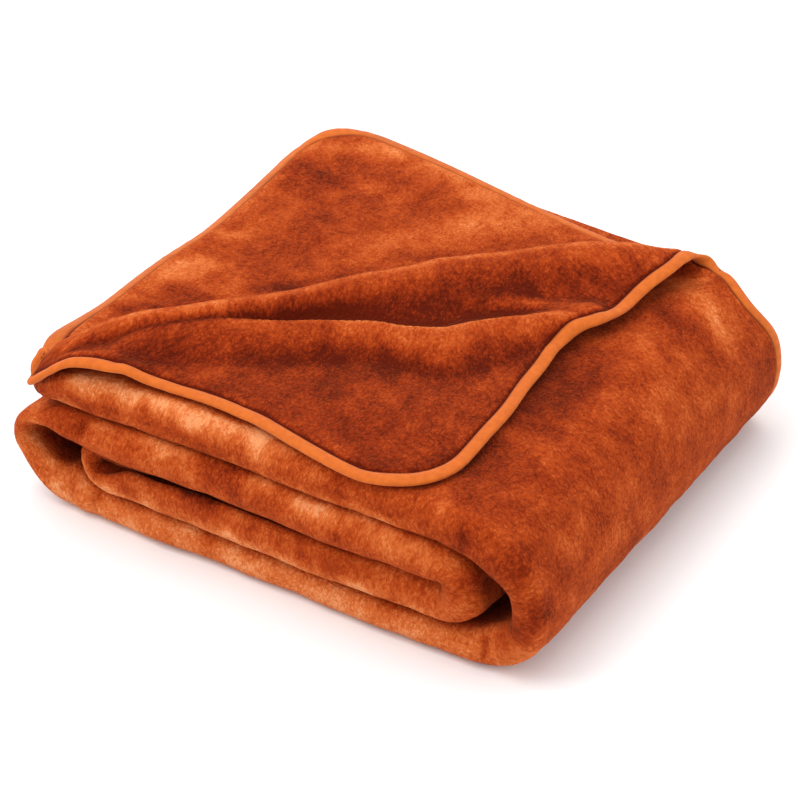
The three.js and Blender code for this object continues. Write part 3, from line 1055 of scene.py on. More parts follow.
    def turn(self, u: Array, v: Array, level: Array, pitch: Array) -> tuple[Array, Array, Array]:
        """Rolls the corner of the outer layer back.

        Args:
            u: Places in plan of the layer before it is turned.
            v: The same, from front to back.
            level: Height of the layer's middle.
            pitch: Distance between layers.

        Returns:
            The places u, v and z after turning.
        """
        along, beyond = self.on_line(u, v)
        radius = self.radius(along)
        back = np.maximum(0, beyond - math.pi * radius)
        turned = np.clip(beyond / radius, 0, math.pi)
        move_u, move_v = self.under_move(u, v)
        rolled_u, rolled_v = self.plan(along, back - radius * np.sin(turned))
        new_u = np.where(beyond > 0, rolled_u, u) + move_u
        new_v = np.where(beyond > 0, rolled_v, v) + move_v
        final_along, final_over = self.across_line(new_u, new_v)
        past = final_over - flowing(final_along, self.crest_along, self.crest_across)
        waves = self.wave_height(final_along, past, 2 * radius - pitch)
        waves = waves + sum(ridge.height(new_u, new_v) for ridge in self.ridges)
        joins = 1 - np.exp(-((back / self.joins_over) ** 2))
        rise = np.where(back > 0, mix(2 * radius, pitch + waves, joins), radius * (1 - np.cos(turned)))
        return new_u, new_v, level + np.where(beyond > 0, rise, 0.0)


@dataclass
class Laid:
    """Places being laid out: on the sheet, in the bundle, and where the strip's middle lies there."""

    x: Array
    y: Array
    u: Array
    v: Array
    z: Array
    path: dict[str, Array]


@dataclass
class BundleShape:
    """The whole bundle: where each place of the flat sheet lies, and which way its outer face looks."""

    sheet: Sheet = field(default_factory=Sheet)
    fold: CrossFold = field(default_factory=CrossFold)
    roll: FlatRoll = field(default_factory=FlatRoll)
    corner: TurnedCorner = field(default_factory=TurnedCorner)
    pushes: tuple[Push, ...] = PUSHES
    droop_left: float = 5.3
    droop_back: float = 3.0
    droop_over: float = 13.0
    lower_settles: float = 25.0
    loft_from: float = 46.0
    loft_over: float = 26.0
    loft_front: float = 2.0
    loft_short: float = 5.0
    loft_least: float = 2.0
    lean: float = 9.0
    lean_height: float = 66.0
    lean_from: float = 275.0
    lean_reach: float = 45.0
    middle_u: float = 173.65
    middle_v: float = 171.05
    step: float = 0.05
    past_back: float = 1.2
    band_reach: float = 330.0
    band_over: float = 40.0
    band_marks: int = 67
    band_plain_from_start: int = 8
    band_plain_to_end: int = 7
    band_least: float = 0.5
    band_smooth: int = 3
    band_ease: float = 1.5
    marks: Array = field(init=False)
    side_share: Array = field(init=False)
    front_share: Array = field(init=False)

    def __post_init__(self) -> None:
        """Finds how far the turned corner's hems are drawn out, so that the binding keeps its width there."""
        count = self.band_marks
        self.marks = np.linspace(0.0, self.band_reach, count)
        self.side_share, self.front_share = np.ones(count), np.ones(count)
        edge, in_from = np.zeros(count), np.full(count, self.sheet.binding_width)
        side = np.linalg.norm(self.place(in_from, self.marks) - self.place(edge, self.marks), axis=1)
        front = np.linalg.norm(self.place(self.marks, in_from) - self.place(self.marks, edge), axis=1)
        self.side_share, self.front_share = self.drawn_share(side), self.drawn_share(front)

    def drawn_share(self, width: Array) -> Array:
        """Smoothed share of its width that the binding's strip keeps, from the width it was drawn out to.

        Args:
            width: Width of the strip at the marks, as the moves leave it.

        Returns:
            The share at each mark.
        """
        reach = self.band_smooth
        spread = np.exp(-((np.arange(-reach, reach + 1) / self.band_ease) ** 2))
        share = np.clip(self.sheet.binding_width / width, self.band_least, 1.0)
        share[: self.band_plain_from_start] = 1.0
        share[-self.band_plain_to_end :] = 1.0
        return np.convolve(np.pad(share, reach, mode="edge"), spread / spread.sum(), mode="valid")

    def true_band(self, x: Array, y: Array) -> tuple[Array, Array]:
        """Draws the outermost strip of the turned corner in to the binding's true width.

        Args:
            x: Places across the sheet.
            y: Places along it.

        Returns:
            The places to use instead.
        """
        wide = self.sheet.binding_width

        def drawn(inset: Array, share: Array) -> Array:
            """Distance from the edge to use instead."""
            beyond = inset - wide * (1 - share) * (1 - soft((inset - wide) / self.band_over))
            return np.where(inset < wide, inset * share, beyond)

        side = np.interp(y, self.marks, self.side_share)
        front = np.interp(x, self.marks, self.front_share)
        return drawn(x, side), drawn(y, front)

    def place(self, x: Array, y: Array) -> Array:
        """Middle surface of the cloth.

        Args:
            x: Places across the sheet.
            y: Places along it.

        Returns:
            One row of u, v and z for each place.
        """
        x, y = self.true_band(x, y)
        path = self.roll.along(y)
        v, w = self.fold.section(x, path["pitch"], path["front"])
        u, z = path["u"] + w * path["out_u"], path["z"] + w * path["out_z"]
        stretches = self.roll.stretches()
        on_tongue = (y > stretches[Part.TONGUE].start) & (y < stretches[Part.INNER_BEND].start)
        z = np.where(on_tongue, mix(z, self.lofted(w / path["pitch"]), self.loft(path["u"], v)), z)
        laid = Laid(x, y, u, v, z, path)
        self.corner_turns(laid)
        self.wrap_follows(laid)
        self.front_follows(laid)
        self.lower_layer_lies(laid)
        return self.uneven(laid.u, laid.v, laid.z)

    def corner_turns(self, laid: Laid) -> None:
        """Turns back the corner of the outer layer.

        Args:
            laid: The places, which it changes.
        """
        loose = (laid.y < TOP_TURN.end) & (laid.x < self.fold.outer_layer)
        if loose.any():
            pitch = laid.path["pitch"][loose]
            turned = self.corner.turn(laid.u[loose], laid.v[loose], laid.z[loose], pitch)
            laid.u[loose], laid.v[loose], laid.z[loose] = turned

    def wrap_follows(self, laid: Laid) -> None:
        """Lets the outer layer of the right bend follow the turned corner's moves.

        Args:
            laid: The places, which it changes.
        """
        past_end = (laid.y >= TOP_TURN.end) & (laid.y < TOP_TURN.end + self.corner.fades_over)
        wrap = past_end & (laid.x < self.fold.outer_layer)
        if wrap.any():
            move_u, move_v = self.corner.under_move(laid.y[wrap], laid.v[wrap])
            laid.u[wrap], laid.v[wrap] = laid.u[wrap] + move_u, laid.v[wrap] + move_v

    def front_follows(self, laid: Laid) -> None:
        """Lets the front fold of the top pass follow the turned corner's moves.

        Args:
            laid: The places, which it changes.
        """
        _, fold_from, fold_to, *_ = self.fold.edges()
        front = (laid.y < TOP_TURN.end) & (laid.x >= fold_from) & (laid.x < fold_to)
        if front.any():
            u, pitch, line = (laid.path[name][front] for name in ("u", "pitch", "front"))
            fold_v, _ = self.fold.section(np.full(len(u), fold_from), pitch, line)
            move_u, move_v = self.corner.under_move(u, fold_v)
            follows = soft((fold_to - laid.x[front]) / self.fold.outer_front_fold)
            laid.u[front], laid.v[front] = laid.u[front] + follows * move_u, laid.v[front] + follows * move_v

    def lower_layer_lies(self, laid: Laid) -> None:
        """Moves the layer under the turned corner to its hem's places, and lets its edges droop.

        Args:
            laid: The places, which it changes.
        """
        lower = (laid.y < TOP_TURN.end) & (laid.x > self.fold.edges()[-1])
        if lower.any():
            u, v = laid.u[lower], laid.v[lower]
            move_u, move_v = self.corner.lower_moves.at(u, v)
            ends = soft((TOP_TURN.end - u) / self.lower_settles)
            laid.u[lower], laid.v[lower] = u + ends * move_u, v + ends * move_v
            left = self.droop_left * soft(1 - laid.y[lower] / self.droop_over)
            back = self.droop_back * soft(1 - (self.sheet.width - laid.x[lower]) / self.droop_over)
            laid.z[lower] = laid.z[lower] - np.maximum(left, back)

    def loft(self, u: Array, v: Array) -> Array:
        """Share by which the tongue's folded front stands fuller than the pressed turn behind it.

        Args:
            u: Places in plan, from left to right.
            v: The same, from front to back.

        Returns:
            The shares, from 0, pressed, to 1, full.
        """
        tucked = self.roll.turns[-1]
        run = (u - tucked.start) / (tucked.end - tucked.start)
        behind = mix(tucked.front_at_start, tucked.front_at_end, run) - self.loft_short
        reach = np.maximum(behind, self.loft_least)
        return soft((u - self.loft_from) / self.loft_over) * (1 - soft((v - self.loft_front) / reach))

    def lofted(self, layers: Array) -> Array:
        """Height of the tongue's layers where they stand full, by how many layers out each one is."""
        tongue = self.roll.stretches()[Part.TONGUE].turn
        return tongue.height - layers * tongue.pitch

    def uneven(self, u: Array, v: Array, z: Array) -> Array:
        """Slow changes of shape over the whole bundle.

        Args:
            u: Places in plan, from left to right.
            v: The same, from front to back.
            z: Heights.

        Returns:
            One row of u, v and z for each place.
        """
        to_back = np.clip(v / BUNDLE_DEPTH, 0, self.past_back)
        to_left = 1 - np.clip(u / BUNDLE_WIDTH, 0, 1)
        high = np.clip(z / TOP_TURN.height, 0, 1)
        v = v + BACK_SPREAD * to_back * to_back * to_left * high
        low = soft((self.lean_height - z) / self.lean_height)
        u = u + self.lean * low * soft((u - self.lean_from) / self.lean_reach)
        points = np.stack([u, v, z], -1)
        return points + sum(push.move(points) for push in self.pushes)

    def surface(self, x: Array, y: Array) -> tuple[Array, Array]:
        """Middle surface and outward direction of the outer face.

        Args:
            x: Places across the sheet.
            y: Places along it.

        Returns:
            Points and unit directions, one row each.
        """
        low_x, high_x = np.maximum(0, x - self.step), np.minimum(self.sheet.width, x + self.step)
        low_y, high_y = np.maximum(0, y - self.step), np.minimum(self.sheet.length, y + self.step)
        across = self.place(high_x, y) - self.place(low_x, y)
        along = self.place(x, high_y) - self.place(x, low_y)
        normal = np.cross(across, along)
        return self.place(x, y), normal / np.linalg.norm(normal, axis=1, keepdims=True)

    def pitch(self, y: Array) -> Array:
        """Distance between layers at places along the throw."""
        return self.roll.along(np.clip(y, 0, self.sheet.length))["pitch"]

    def metres(self, points: Array) -> Array:
        """Points in the frame's own axes, in metres."""
        return (points - np.array([self.middle_u, self.middle_v, 0.0])) * MM


# ---------------------------------------------------------------------------------------- the flannel cloth


def mesh_piece(name: str, points: Array, triangles: Array, uv: Array, nap: Array) -> bpy.types.Object:
    """Makes a smooth closed mesh object at the origin.

    Args:
        name: Name of the piece.
        points: Points in metres, one row each.
        triangles: Indices of the points, one row each.
        uv: Flat coordinates of each point, in metres along the cloth.
        nap: Tone of each point, painted light and shade included, which the finish reads.

    Returns:
        The new object.
    """
    mesh = bpy.data.meshes.new(name)
    mesh.vertices.add(len(points))
    mesh.vertices.foreach_set("co", points.astype(np.float32).ravel())
    mesh.loops.add(len(triangles) * 3)
    mesh.loops.foreach_set("vertex_index", triangles.astype(np.int32).ravel())
    mesh.polygons.add(len(triangles))
    mesh.polygons.foreach_set("loop_start", np.arange(0, len(triangles) * 3, 3, dtype=np.int32))
    mesh.polygons.foreach_set("use_smooth", np.ones(len(triangles), bool))
    mesh.update(calc_edges=True)
    layer = mesh.uv_layers.new(name="cloth")
    layer.data.foreach_set("uv", uv[triangles.ravel()].astype(np.float32).ravel())
    # The tone attribute carries the cloth's own tone together with painted light and shade.
    mesh.attributes.new("nap", "FLOAT", "POINT").data.foreach_set("value", nap.astype(np.float32))
    mesh.validate()
    piece = bpy.data.objects.new(name, mesh)
    bpy.context.scene.collection.objects.link(piece)
    return piece


@dataclass(frozen=True)
class ByFace:
    """A distance that is not the same for the cloth's two faces."""

    outer: float
    inner: float

    def of(self, face: Face) -> float:
        """The distance for one face."""
        return self.outer if face is Face.OUTER else self.inner


@dataclass(frozen=True)
class Spacing:
    """Distances between the cloth's stations, fine where it is seen, and where they change."""

    seen: float = 2.2
    rolled: float = 1.9
    under_flap: float = 7.0
    below_flap: float = 14.0
    covered: float = 16.0
    hidden: float = 34.0
    right_bend: ByFace = ByFace(2.3, 8.0)
    left_bend: ByFace = ByFace(4.0, 9.0)
    front_fold: ByFace = ByFace(2.0, 5.0)
    beside_fold: float = 3.0
    past_fold: float = 4.0
    tight_fold: float = 1.6
    fold_strip: float = 12.0
    front_strip: float = 30.0
    front_strip_to: float = 245.0
    fold_line_in: float = 14.5
    roll_before: float = 56.0
    roll_after: float = 6.0
    beside_flap: float = 2.0
    from_edge: tuple[float, ...] = (15.0, 19.0)
    in_binding: float = 6.0
    recovering: tuple[float, ...] = (0.0, 0.3, 0.65, 1.0)


ROW_STEPS = {
    Part.TOP: 2.2,
    Part.RIGHT_BEND: 2.6,
    Part.BOTTOM: 5.5,
    Part.LEFT_BEND: 3.0,
    Part.UPPER_MIDDLE: 5.0,
    Part.NOSE: 3.0,
    Part.TONGUE: 5.0,
    Part.INNER_BEND: 3.0,
    Part.TUCKED_END: 12.0,
}


@dataclass(frozen=True)
class Lumps:
    """Lumps of the pile of one size: their height, their size, and where their noise is read."""

    height: float
    size: float
    shift_x: float = 0.0
    shift_y: float = 0.0


@dataclass
class FlannelCloth:
    """The panel of plush flannel, one closed sheet with both its faces."""

    shape: BundleShape
    spacing: Spacing = field(default_factory=Spacing)
    channel_half: float = 0.8
    pile_recovery: float = 2.4
    seam_gap: float = 0.1
    lumps: tuple[Lumps, ...] = (
        Lumps(0.85, 30.0),
        Lumps(0.30, 12.0, shift_x=400),
        Lumps(0.18, 5.2, shift_y=700),
    )
    lumps_hidden: float = 0.3
    lumps_over: float = 8.0
    strokes: tuple[NapAndPaintedLightStroke, ...] = NAP_AND_PAINTED_LIGHT_STROKES
    on_outer: float = 0.365
    on_corner: float = 0.33
    on_lower: float = 0.465
    # Painted shade in hollows and painted highlight on crests, from the cloth's curve:
    curve_reach: float = 7.0
    curve_tone: float = 0.07
    curve_most: float = 2.5
    curve_over: float = 4.0
    seam_tone: float = 0.40
    seam_reach: float = 0.7
    stray: float = 6.0
    stray_size: float = 19.0
    stray_fine: float = 8.0
    stray_fine_share: float = 0.2
    stray_apart: tuple[float, float, float] = (90, 50, 70)
    inner_uv_shift: float = 2.0
    outer_noise: SoftNoise = field(default_factory=lambda: SoftNoise(11))
    inner_noise: SoftNoise = field(default_factory=lambda: SoftNoise(23))

    def edge_steps(self) -> list[float]:
        """Distances from an edge of the sheet where every row and column has a station.

        Returns:
            The rising distances.
        """
        gap, sheet = self.spacing, self.shape.sheet
        seam = sheet.binding_width + self.seam_gap
        rising = [seam + self.pile_recovery * share for share in gap.recovering]
        return [sheet.edge_in_binding, gap.in_binding, *rising, *gap.from_edge]

    def rows(self) -> Array:
        """Stations along the sheet, fine where the cloth is seen.

        Returns:
            The rising stations.
        """
        steps, length = self.edge_steps(), self.shape.sheet.length
        starts = [stretch.start for stretch in self.shape.roll.stretches()]
        marks = [steps[-1], *starts[1:], length - steps[-1]]
        intervals = list(zip(marks, marks[1:], ROW_STEPS.values()))
        return self.with_ends(intervals, length)

    def with_ends(self, intervals: list[Interval], length: float) -> Array:
        """Stations of intervals, with those beside both edges of the sheet.

        Args:
            intervals: The intervals between those beside the edges.
            length: Length of the sheet that way.

        Returns:
            The rising stations.
        """
        steps = self.edge_steps()
        ends = [length - step for step in reversed(steps)]
        return np.concatenate([steps[:-1], stations(intervals), ends[1:]])

    def columns(self, y: float, face: Face) -> Array:
        """Stations across the sheet in one row of one face.

        Args:
            y: Place of the row along the sheet.
            face: Which face.

        Returns:
            The rising stations.
        """
        sheet, steps, gap = self.shape.sheet, self.edge_steps(), self.spacing
        _, fold_from, fold_to, back_from, back_to, inner_from, lower_from = self.shape.fold.edges()
        starts = [stretch.start for stretch in self.shape.roll.stretches()]
        part = Part(int(np.searchsorted(starts, y, side="right")) - 1)
        first, last = steps[-1], sheet.width - steps[-1]
        on_end = y <= steps[0] or y >= sheet.length - steps[0]
        lower = [(lower_from, last, gap.hidden)]
        if part is Part.TOP:
            outer = self.outer_columns(y, face, on_end, first)
            lower = self.lower_columns(y, face, on_end, last)
        elif part is Part.RIGHT_BEND:
            outer = [(first, fold_from, gap.right_bend.of(face))]
        elif part is Part.LEFT_BEND:
            outer = [(first, fold_from, gap.left_bend.of(face))]
        else:
            beside = fold_from - gap.fold_strip
            outer = [(first, beside, gap.hidden), (beside, fold_from, gap.beside_fold)]
        is_seen = (face is Face.OUTER or on_end) and part is not Part.TUCKED_END
        front, past = gap.front_fold.of(Face.OUTER if is_seen else Face.INNER), fold_to + gap.fold_strip
        middle = [(fold_from, fold_to, front), (fold_to, past, gap.past_fold)]
        middle += [(past, back_from, gap.hidden), (back_from, back_to, gap.tight_fold)]
        middle += [(back_to, inner_from, gap.hidden), (inner_from, lower_from, gap.tight_fold)]
        return self.with_ends(outer + middle + lower, sheet.width)

    def outer_columns(self, y: float, face: Face, on_end: bool, first: float) -> list[Interval]:
        """Intervals across the outer layer of the top pass: the flap, its roll, and the layer under it.

        Args:
            y: Place of the row along the sheet.
            face: Which face.
            on_end: Whether the row lies on the sheet's end, where both faces have the same stations.
            first: Where the intervals start.

        Returns:
            The intervals, up to the front fold.
        """
        gap, corner, fold_from = self.spacing, self.shape.corner, self.shape.fold.edges()[1]
        crossing = fold_from + gap.fold_line_in - corner.line_v - y * (corner.along_v / corner.along_u)
        roll_from = min(max(crossing - gap.roll_before, first), fold_from)
        roll_to = min(max(crossing + gap.roll_after, first), fold_from)
        if face is Face.INNER or on_end:
            outer = [(first, roll_from, gap.seen), (roll_from, roll_to, gap.rolled)]
            return outer + [(roll_to, fold_from, gap.seen if on_end else gap.covered)]
        strip_from = fold_from - gap.front_strip if y < gap.front_strip_to else roll_to
        seen_from = min(max(strip_from, roll_to), fold_from)
        outer = [(first, roll_from, gap.under_flap), (roll_from, roll_to, gap.rolled)]
        return outer + [(roll_to, seen_from, gap.below_flap), (seen_from, fold_from, gap.seen)]

    def lower_columns(self, y: float, face: Face, on_end: bool, last: float) -> list[Interval]:
        """Intervals across the layer under the turned corner, whose inner face shows beside it.

        Args:
            y: Place of the row along the sheet.
            face: Which face.
            on_end: Whether the row lies on the sheet's end, where both faces have the same stations.
            last: Where the intervals end.

        Returns:
            The intervals, from the inner front fold.
        """
        gap, corner, lower_from = self.spacing, self.shape.corner, self.shape.fold.edges()[-1]
        if face is Face.INNER and not on_end:
            beside = y * (corner.along_v / corner.along_u) + gap.beside_flap
            seen = lower_from + min(max(beside, 0.0), last - lower_from - 1)
            return [(lower_from, seen, gap.covered), (seen, last, gap.seen)]
        return [(lower_from, last, gap.seen if on_end else gap.hidden)]

    def half_thickness(self, x: Array, y: Array) -> Array:
        """Half the thickness of the cloth: thin inside the binding, full pile beyond it.

        Args:
            x: Places across the sheet.
            y: Places along it.

        Returns:
            The half thicknesses.
        """
        sheet = self.shape.sheet
        recovered = (sheet.inset(x, y) - sheet.binding_width - self.seam_gap) / self.pile_recovery
        share = np.sin(np.clip(recovered, 0, 1) * math.pi / 2)
        return mix(self.channel_half, sheet.cloth_share * self.shape.pitch(y) / 2, share)

    def relief(self, x: Array, y: Array, face: Face) -> Array:
        """Lumps of the pile over the cloth, in millimetres.

        Args:
            x: Places across the sheet.
            y: Places along it.
            face: Which face.

        Returns:
            Height over the even pile.
        """
        noise = self.outer_noise if face is Face.OUTER else self.inner_noise
        height = sum(
            lump.height * noise.at(x + lump.shift_x, y + lump.shift_y, lump.size) for lump in self.lumps
        )
        sheet, (_, _, fold_to, *_, lower_from) = self.shape.sheet, self.shape.fold.edges()
        beside_flap = (x > lower_from) & (y < TOP_TURN.end) & (face is Face.INNER)
        seen = np.where((x < fold_to) | beside_flap, 1.0, self.lumps_hidden)
        return height * seen * soft((sheet.inset(x, y) - sheet.binding_width) / self.lumps_over)

    def strayed(self, x: Array, y: Array, points: Array) -> Array:
        """Points moved about a little, so that the edges of the strokes of nap and painted light come out
        ragged.

        Args:
            x: Places across the sheet.
            y: Places along it.
            points: Their places in the bundle.

        Returns:
            The moved points.
        """
        noise, (by_x, by_y, fine_y) = self.inner_noise, self.stray_apart

        def drift(k: int) -> Array:
            """How far the points stray in one direction."""
            fine = self.stray_fine_share * noise.at(x, y + fine_y * k, self.stray_fine)
            return noise.at(x + by_x * k, y + by_y * k, self.stray_size) + fine

        return points + self.stray * np.stack([drift(k) for k in (1, 2, 3)], -1)

    def nap(self, x: Array, y: Array, points: Array, normals: Array, face: Face) -> Array:
        """Pile tone by face and strokes, painted shade in hollows and highlight on crests, dark at the seam.

        Args:
            x: Places across the sheet.
            y: Places along it.
            points: Their places in the bundle.
            normals: The ways the outer face looks there.
            face: Which face.

        Returns:
            The tones, from 0, dark, to 1, light.
        """
        sheet, reach = self.shape.sheet, self.curve_reach
        if face is Face.OUTER:
            tone = np.full(len(x), self.on_outer)
        else:
            # Base tone of the turned-back face, with painted light and shade along its waves.
            corner_tone = self.on_corner + self.shape.corner.wave_tone(points)
            tone = np.where(x < sheet.width / 2, corner_tone, self.on_lower)
        # Strokes of nap brushed the other way, and of painted light and shade.
        places = self.strayed(x, y, points)
        for stroke in self.strokes:
            tone = tone + stroke.tone * stroke.share(places)
        # Painted shade in hollows and painted highlight on crests, by how far the cloth around lies above or
        # below each point.
        low_x, high_x = np.maximum(x - reach, 0), np.minimum(x + reach, sheet.width)
        low_y, high_y = np.maximum(y - reach, 0), np.minimum(y + reach, sheet.length)
        around = (self.shape.place(low_x, y) + self.shape.place(high_x, y)) / 2 - points
        ahead = (self.shape.place(x, low_y) + self.shape.place(x, high_y)) / 2 - points
        hollow = face.value * ((around + ahead) * normals).sum(1)
        inset = sheet.inset(x, y)
        curve = np.clip(hollow, -self.curve_most, self.curve_most) * soft((inset - reach) / self.curve_over)
        seam = inset - sheet.binding_width - self.seam_gap
        return tone - self.curve_tone * curve - self.seam_tone * np.exp(-((seam / self.seam_reach) ** 2))

    def build(self) -> bpy.types.Object:
        """Makes the closed mesh of both faces.

        Returns:
            The cloth's object.
        """
        rows = self.rows()
        points, uv, tones_with_painted_shading, triangles, rims = [], [], [], [], {}
        count = 0
        for face in Face:
            row_x = [self.columns(y, face) for y in rows]
            x = np.concatenate(row_x)
            y = np.concatenate([np.full(len(r), rows[j]) for j, r in enumerate(row_x)])
            starts = count + np.concatenate([[0], np.cumsum([len(r) for r in row_x])])
            round_x, round_y = self.shape.sheet.rounded(x, y)
            point, normal = self.shape.surface(round_x, round_y)
            height = self.half_thickness(x, y) + self.relief(round_x, round_y, face)
            points.append(point + normal * (face.value * height)[:, None])
            tones_with_painted_shading.append(self.nap(round_x, round_y, point, normal, face))
            shift = self.inner_uv_shift if face is Face.INNER else 0.0
            uv.append(np.stack([round_x * MM + shift, round_y * MM], -1))
            for j in range(len(rows) - 1):
                start, after = int(starts[j]), int(starts[j + 1])
                triangles.extend(self.zipped(row_x[j], row_x[j + 1], start, after, face))
            left = [int(starts[j]) for j in range(len(rows))]
            right = [int(starts[j + 1]) - 1 for j in range(len(rows))]
            near = list(range(int(starts[0]), int(starts[1])))
            far = list(range(int(starts[-2]), int(starts[-1])))
            rims[face] = near + right[1:] + far[::-1][1:] + left[::-1][1:-1]
            count += len(x)
        outer, inner = rims[Face.OUTER], rims[Face.INNER]
        for k in range(len(outer)):
            after = (k + 1) % len(outer)
            triangles.append((outer[after], outer[k], inner[k]))
            triangles.append((outer[after], inner[k], inner[after]))
        places = np.concatenate(points)
        places[:, 2] = np.maximum(places[:, 2], 0.0)
        places, uv, tones_with_painted_shading = self.shape.metres(places), np.concatenate(uv), np.concatenate(tones_with_painted_shading)
        return mesh_piece("flannel_cloth", places, np.array(triangles), uv, tones_with_painted_shading)

    def dress(self, cloth: bpy.types.Object, mottle: bpy.types.NodeTree) -> None:
        """Gives the cloth its finish."""
        cloth.data.materials.append(FlannelFinish().material(mottle))

    @staticmethod
    def zipped(
        first: Array, second: Array, start: int, after: int, face: Face
    ) -> list[tuple[int, int, int]]:
        """Triangles between two rows with stations of their own.

        Args:
            first: Stations of the first row.
            second: Stations of the second row.
            start: Index of the first row's first point.
            after: Index of the second row's first point.
            face: Which face, which sets the winding.

        Returns:
            The triangles.
        """
        i = j = 0
        found = []
        while i < len(first) - 1 or j < len(second) - 1:
            ahead = j == len(second) - 1 or (i < len(first) - 1 and first[i + 1] <= second[j + 1])
            if ahead:
                corners = (start + i, start + i + 1, after + j)
                i += 1
            else:
                corners = (start + i, after + j + 1, after + j)
                j += 1
            found.append(corners if face is Face.OUTER else corners[::-1])
        return found


# ----------------------------------------------------------------------------------------- the edge binding


@dataclass
class EdgeBinding:
    """The smooth tape folded over the edge all round, as one closed tube."""

    shape: BundleShape
    around: int = 14
    fine: float = 2.2
    front_fold: float = 1.6
    tight_fold: float = 1.3
    right_bend: float = 3.0
    left_bend: float = 2.6
    bottom: float = 6.0
    seen_behind: float = 4.5
    end_corner: float = 6.0
    end_front_fold: float = 2.4
    end_tight_fold: float = 1.6
    hidden: float = 13.0
    roundness: float = 2.1
    pucker: float = 0.22
    pucker_every: float = 5.5
    seam_tone: float = 0.42
    seam_share: float = 0.16
    plain_tone: float = 0.5
    shadows: tuple[NapAndPaintedLightStroke, ...] = (
        NapAndPaintedLightStroke("end of the top pass", 4, -4, 76, 12, 10, 90, 9, -0.5),
        NapAndPaintedLightStroke("left edge", -9, 35, 96, -8, 232, 96, 9, -0.12),
        NapAndPaintedLightStroke("back corner", -8, 232, 96, 38, 349, 96, 9, -0.12),
        NapAndPaintedLightStroke("back edge", 38, 349, 96, 260, 317, 96, 9, -0.12),
    )
    noise: SoftNoise = field(default_factory=lambda: SoftNoise(37))

    def distances(self) -> Array:
        """Stations along the edge, fine where the tape is seen.

        Returns:
            The rising stations.
        """
        sheet, at = self.shape.sheet, self.shape.sheet.hem_distance
        radius, width, length = sheet.corner_radius, sheet.width, sheet.length
        across, stretches = self.shape.fold.edges()[1:], self.shape.roll.stretches()
        along = [stretches[part].start for part in (Part.RIGHT_BEND, Part.BOTTOM, Part.LEFT_BEND)]
        fine, hidden, front, tight = self.fine, self.hidden, self.front_fold, self.tight_fold
        end_front, end_tight = self.end_front_fold, self.end_tight_fold

        def side(place: Callable[[float], float], marks: list[float], steps: list[float]) -> list[Interval]:
            """Intervals between marks along one side of the sheet."""
            stops = [place(mark) for mark in marks]
            return list(zip(stops, stops[1:], steps))

        marks_x, marks_y = [radius, *across, width - radius], [radius, *along, length - radius]
        near = side(lambda x: at(x, 0), marks_x, [fine, front, hidden, tight, hidden, tight, fine])
        right = side(lambda y: at(width, y), marks_y, [fine, self.right_bend, self.bottom, self.seen_behind])
        far_steps = [hidden, end_tight, hidden, end_tight, hidden, end_front, hidden]
        far = side(lambda x: at(x, length), marks_x[::-1], far_steps)
        left = side(lambda y: at(0, y), marks_y[::-1], [self.seen_behind, self.bottom, self.left_bend, fine])
        intervals = [(0.0, near[0][0], fine), *near, (near[-1][1], right[0][0], fine), *right]
        intervals += [(right[-1][1], far[0][0], self.end_corner), *far]
        intervals += [(far[-1][1], left[0][0], self.end_corner), *left]
        whole = left[-1][1] + radius * math.pi / 4
        return stations([*intervals, (left[-1][1], whole, fine)])[:-1]

    def build(self) -> bpy.types.Object:
        """Makes the tube.

        Returns:
            The binding's object.
        """
        sheet = self.shape.sheet
        distance = self.distances()
        angle = np.arange(self.around) * 2 * math.pi / self.around
        power = 2 / self.roundness
        cos, sin = np.cos(angle), np.sin(angle)
        across = np.sign(cos) * np.abs(cos) ** power
        high = np.sign(sin) * np.abs(sin) ** power
        inset = sheet.binding_width / 2 * (1 - across)
        d, i = np.repeat(distance, self.around), np.tile(inset, len(distance))
        x, y = sheet.hem(d, i)
        point, normal = self.shape.surface(x, y)
        half = sheet.binding_share * self.shape.pitch(y) / 2
        puckers = self.noise.at(d, i * 0, self.pucker_every)
        ripple = 1 + self.pucker * puckers * np.tile(np.abs(high), len(distance))
        points = point + normal * (half * np.tile(high, len(distance)) * ripple)[:, None]
        here = np.arange(len(distance))[:, None] * self.around + np.arange(self.around)[None, :]
        turned = np.roll(here, -1, axis=1)
        ahead, ahead_turned = np.roll(here, -1, axis=0), np.roll(turned, -1, axis=0)
        first = np.stack([here, ahead, ahead_turned], -1).reshape(-1, 3)
        second = np.stack([here, ahead_turned, turned], -1).reshape(-1, 3)
        triangles = np.concatenate([first, second])
        uv = np.stack([d * MM, np.tile(angle / (2 * math.pi), len(distance))], -1)
        from_seam = np.tile(1 + across, len(distance)) / self.seam_share
        tone = self.plain_tone - self.seam_tone * np.exp(-(from_seam**2))
        tone = tone + sum(shadow.tone * shadow.share(point) for shadow in self.shadows)
        tone = np.clip(tone, 0.0, self.plain_tone)
        return mesh_piece("edge_binding_tape", self.shape.metres(points), triangles, uv, tone)

    def dress(self, binding: bpy.types.Object, mottle: bpy.types.NodeTree) -> None:
        """Gives the binding its finish."""
        binding.data.materials.append(BindingFinish().material(mottle))


# ------------------------------------------------------------------------------------------------- finishes


Colour = tuple[float, float, float, float]


def srgb(red: int, green: int, blue: int) -> Colour:
    """Linear colour of a colour given as it is seen on a screen, 0 to 255.

    Args:
        red: First channel.
        green: Second channel.
        blue: Third channel.

    Returns:
        The linear colour.
    """

    def linear(value: int) -> float:
        """One channel."""
        share = value / 255
        return share / 12.92 if share <= 0.04045 else ((share + 0.055) / 1.055) ** 2.4

    return linear(red), linear(green), linear(blue), 1.0


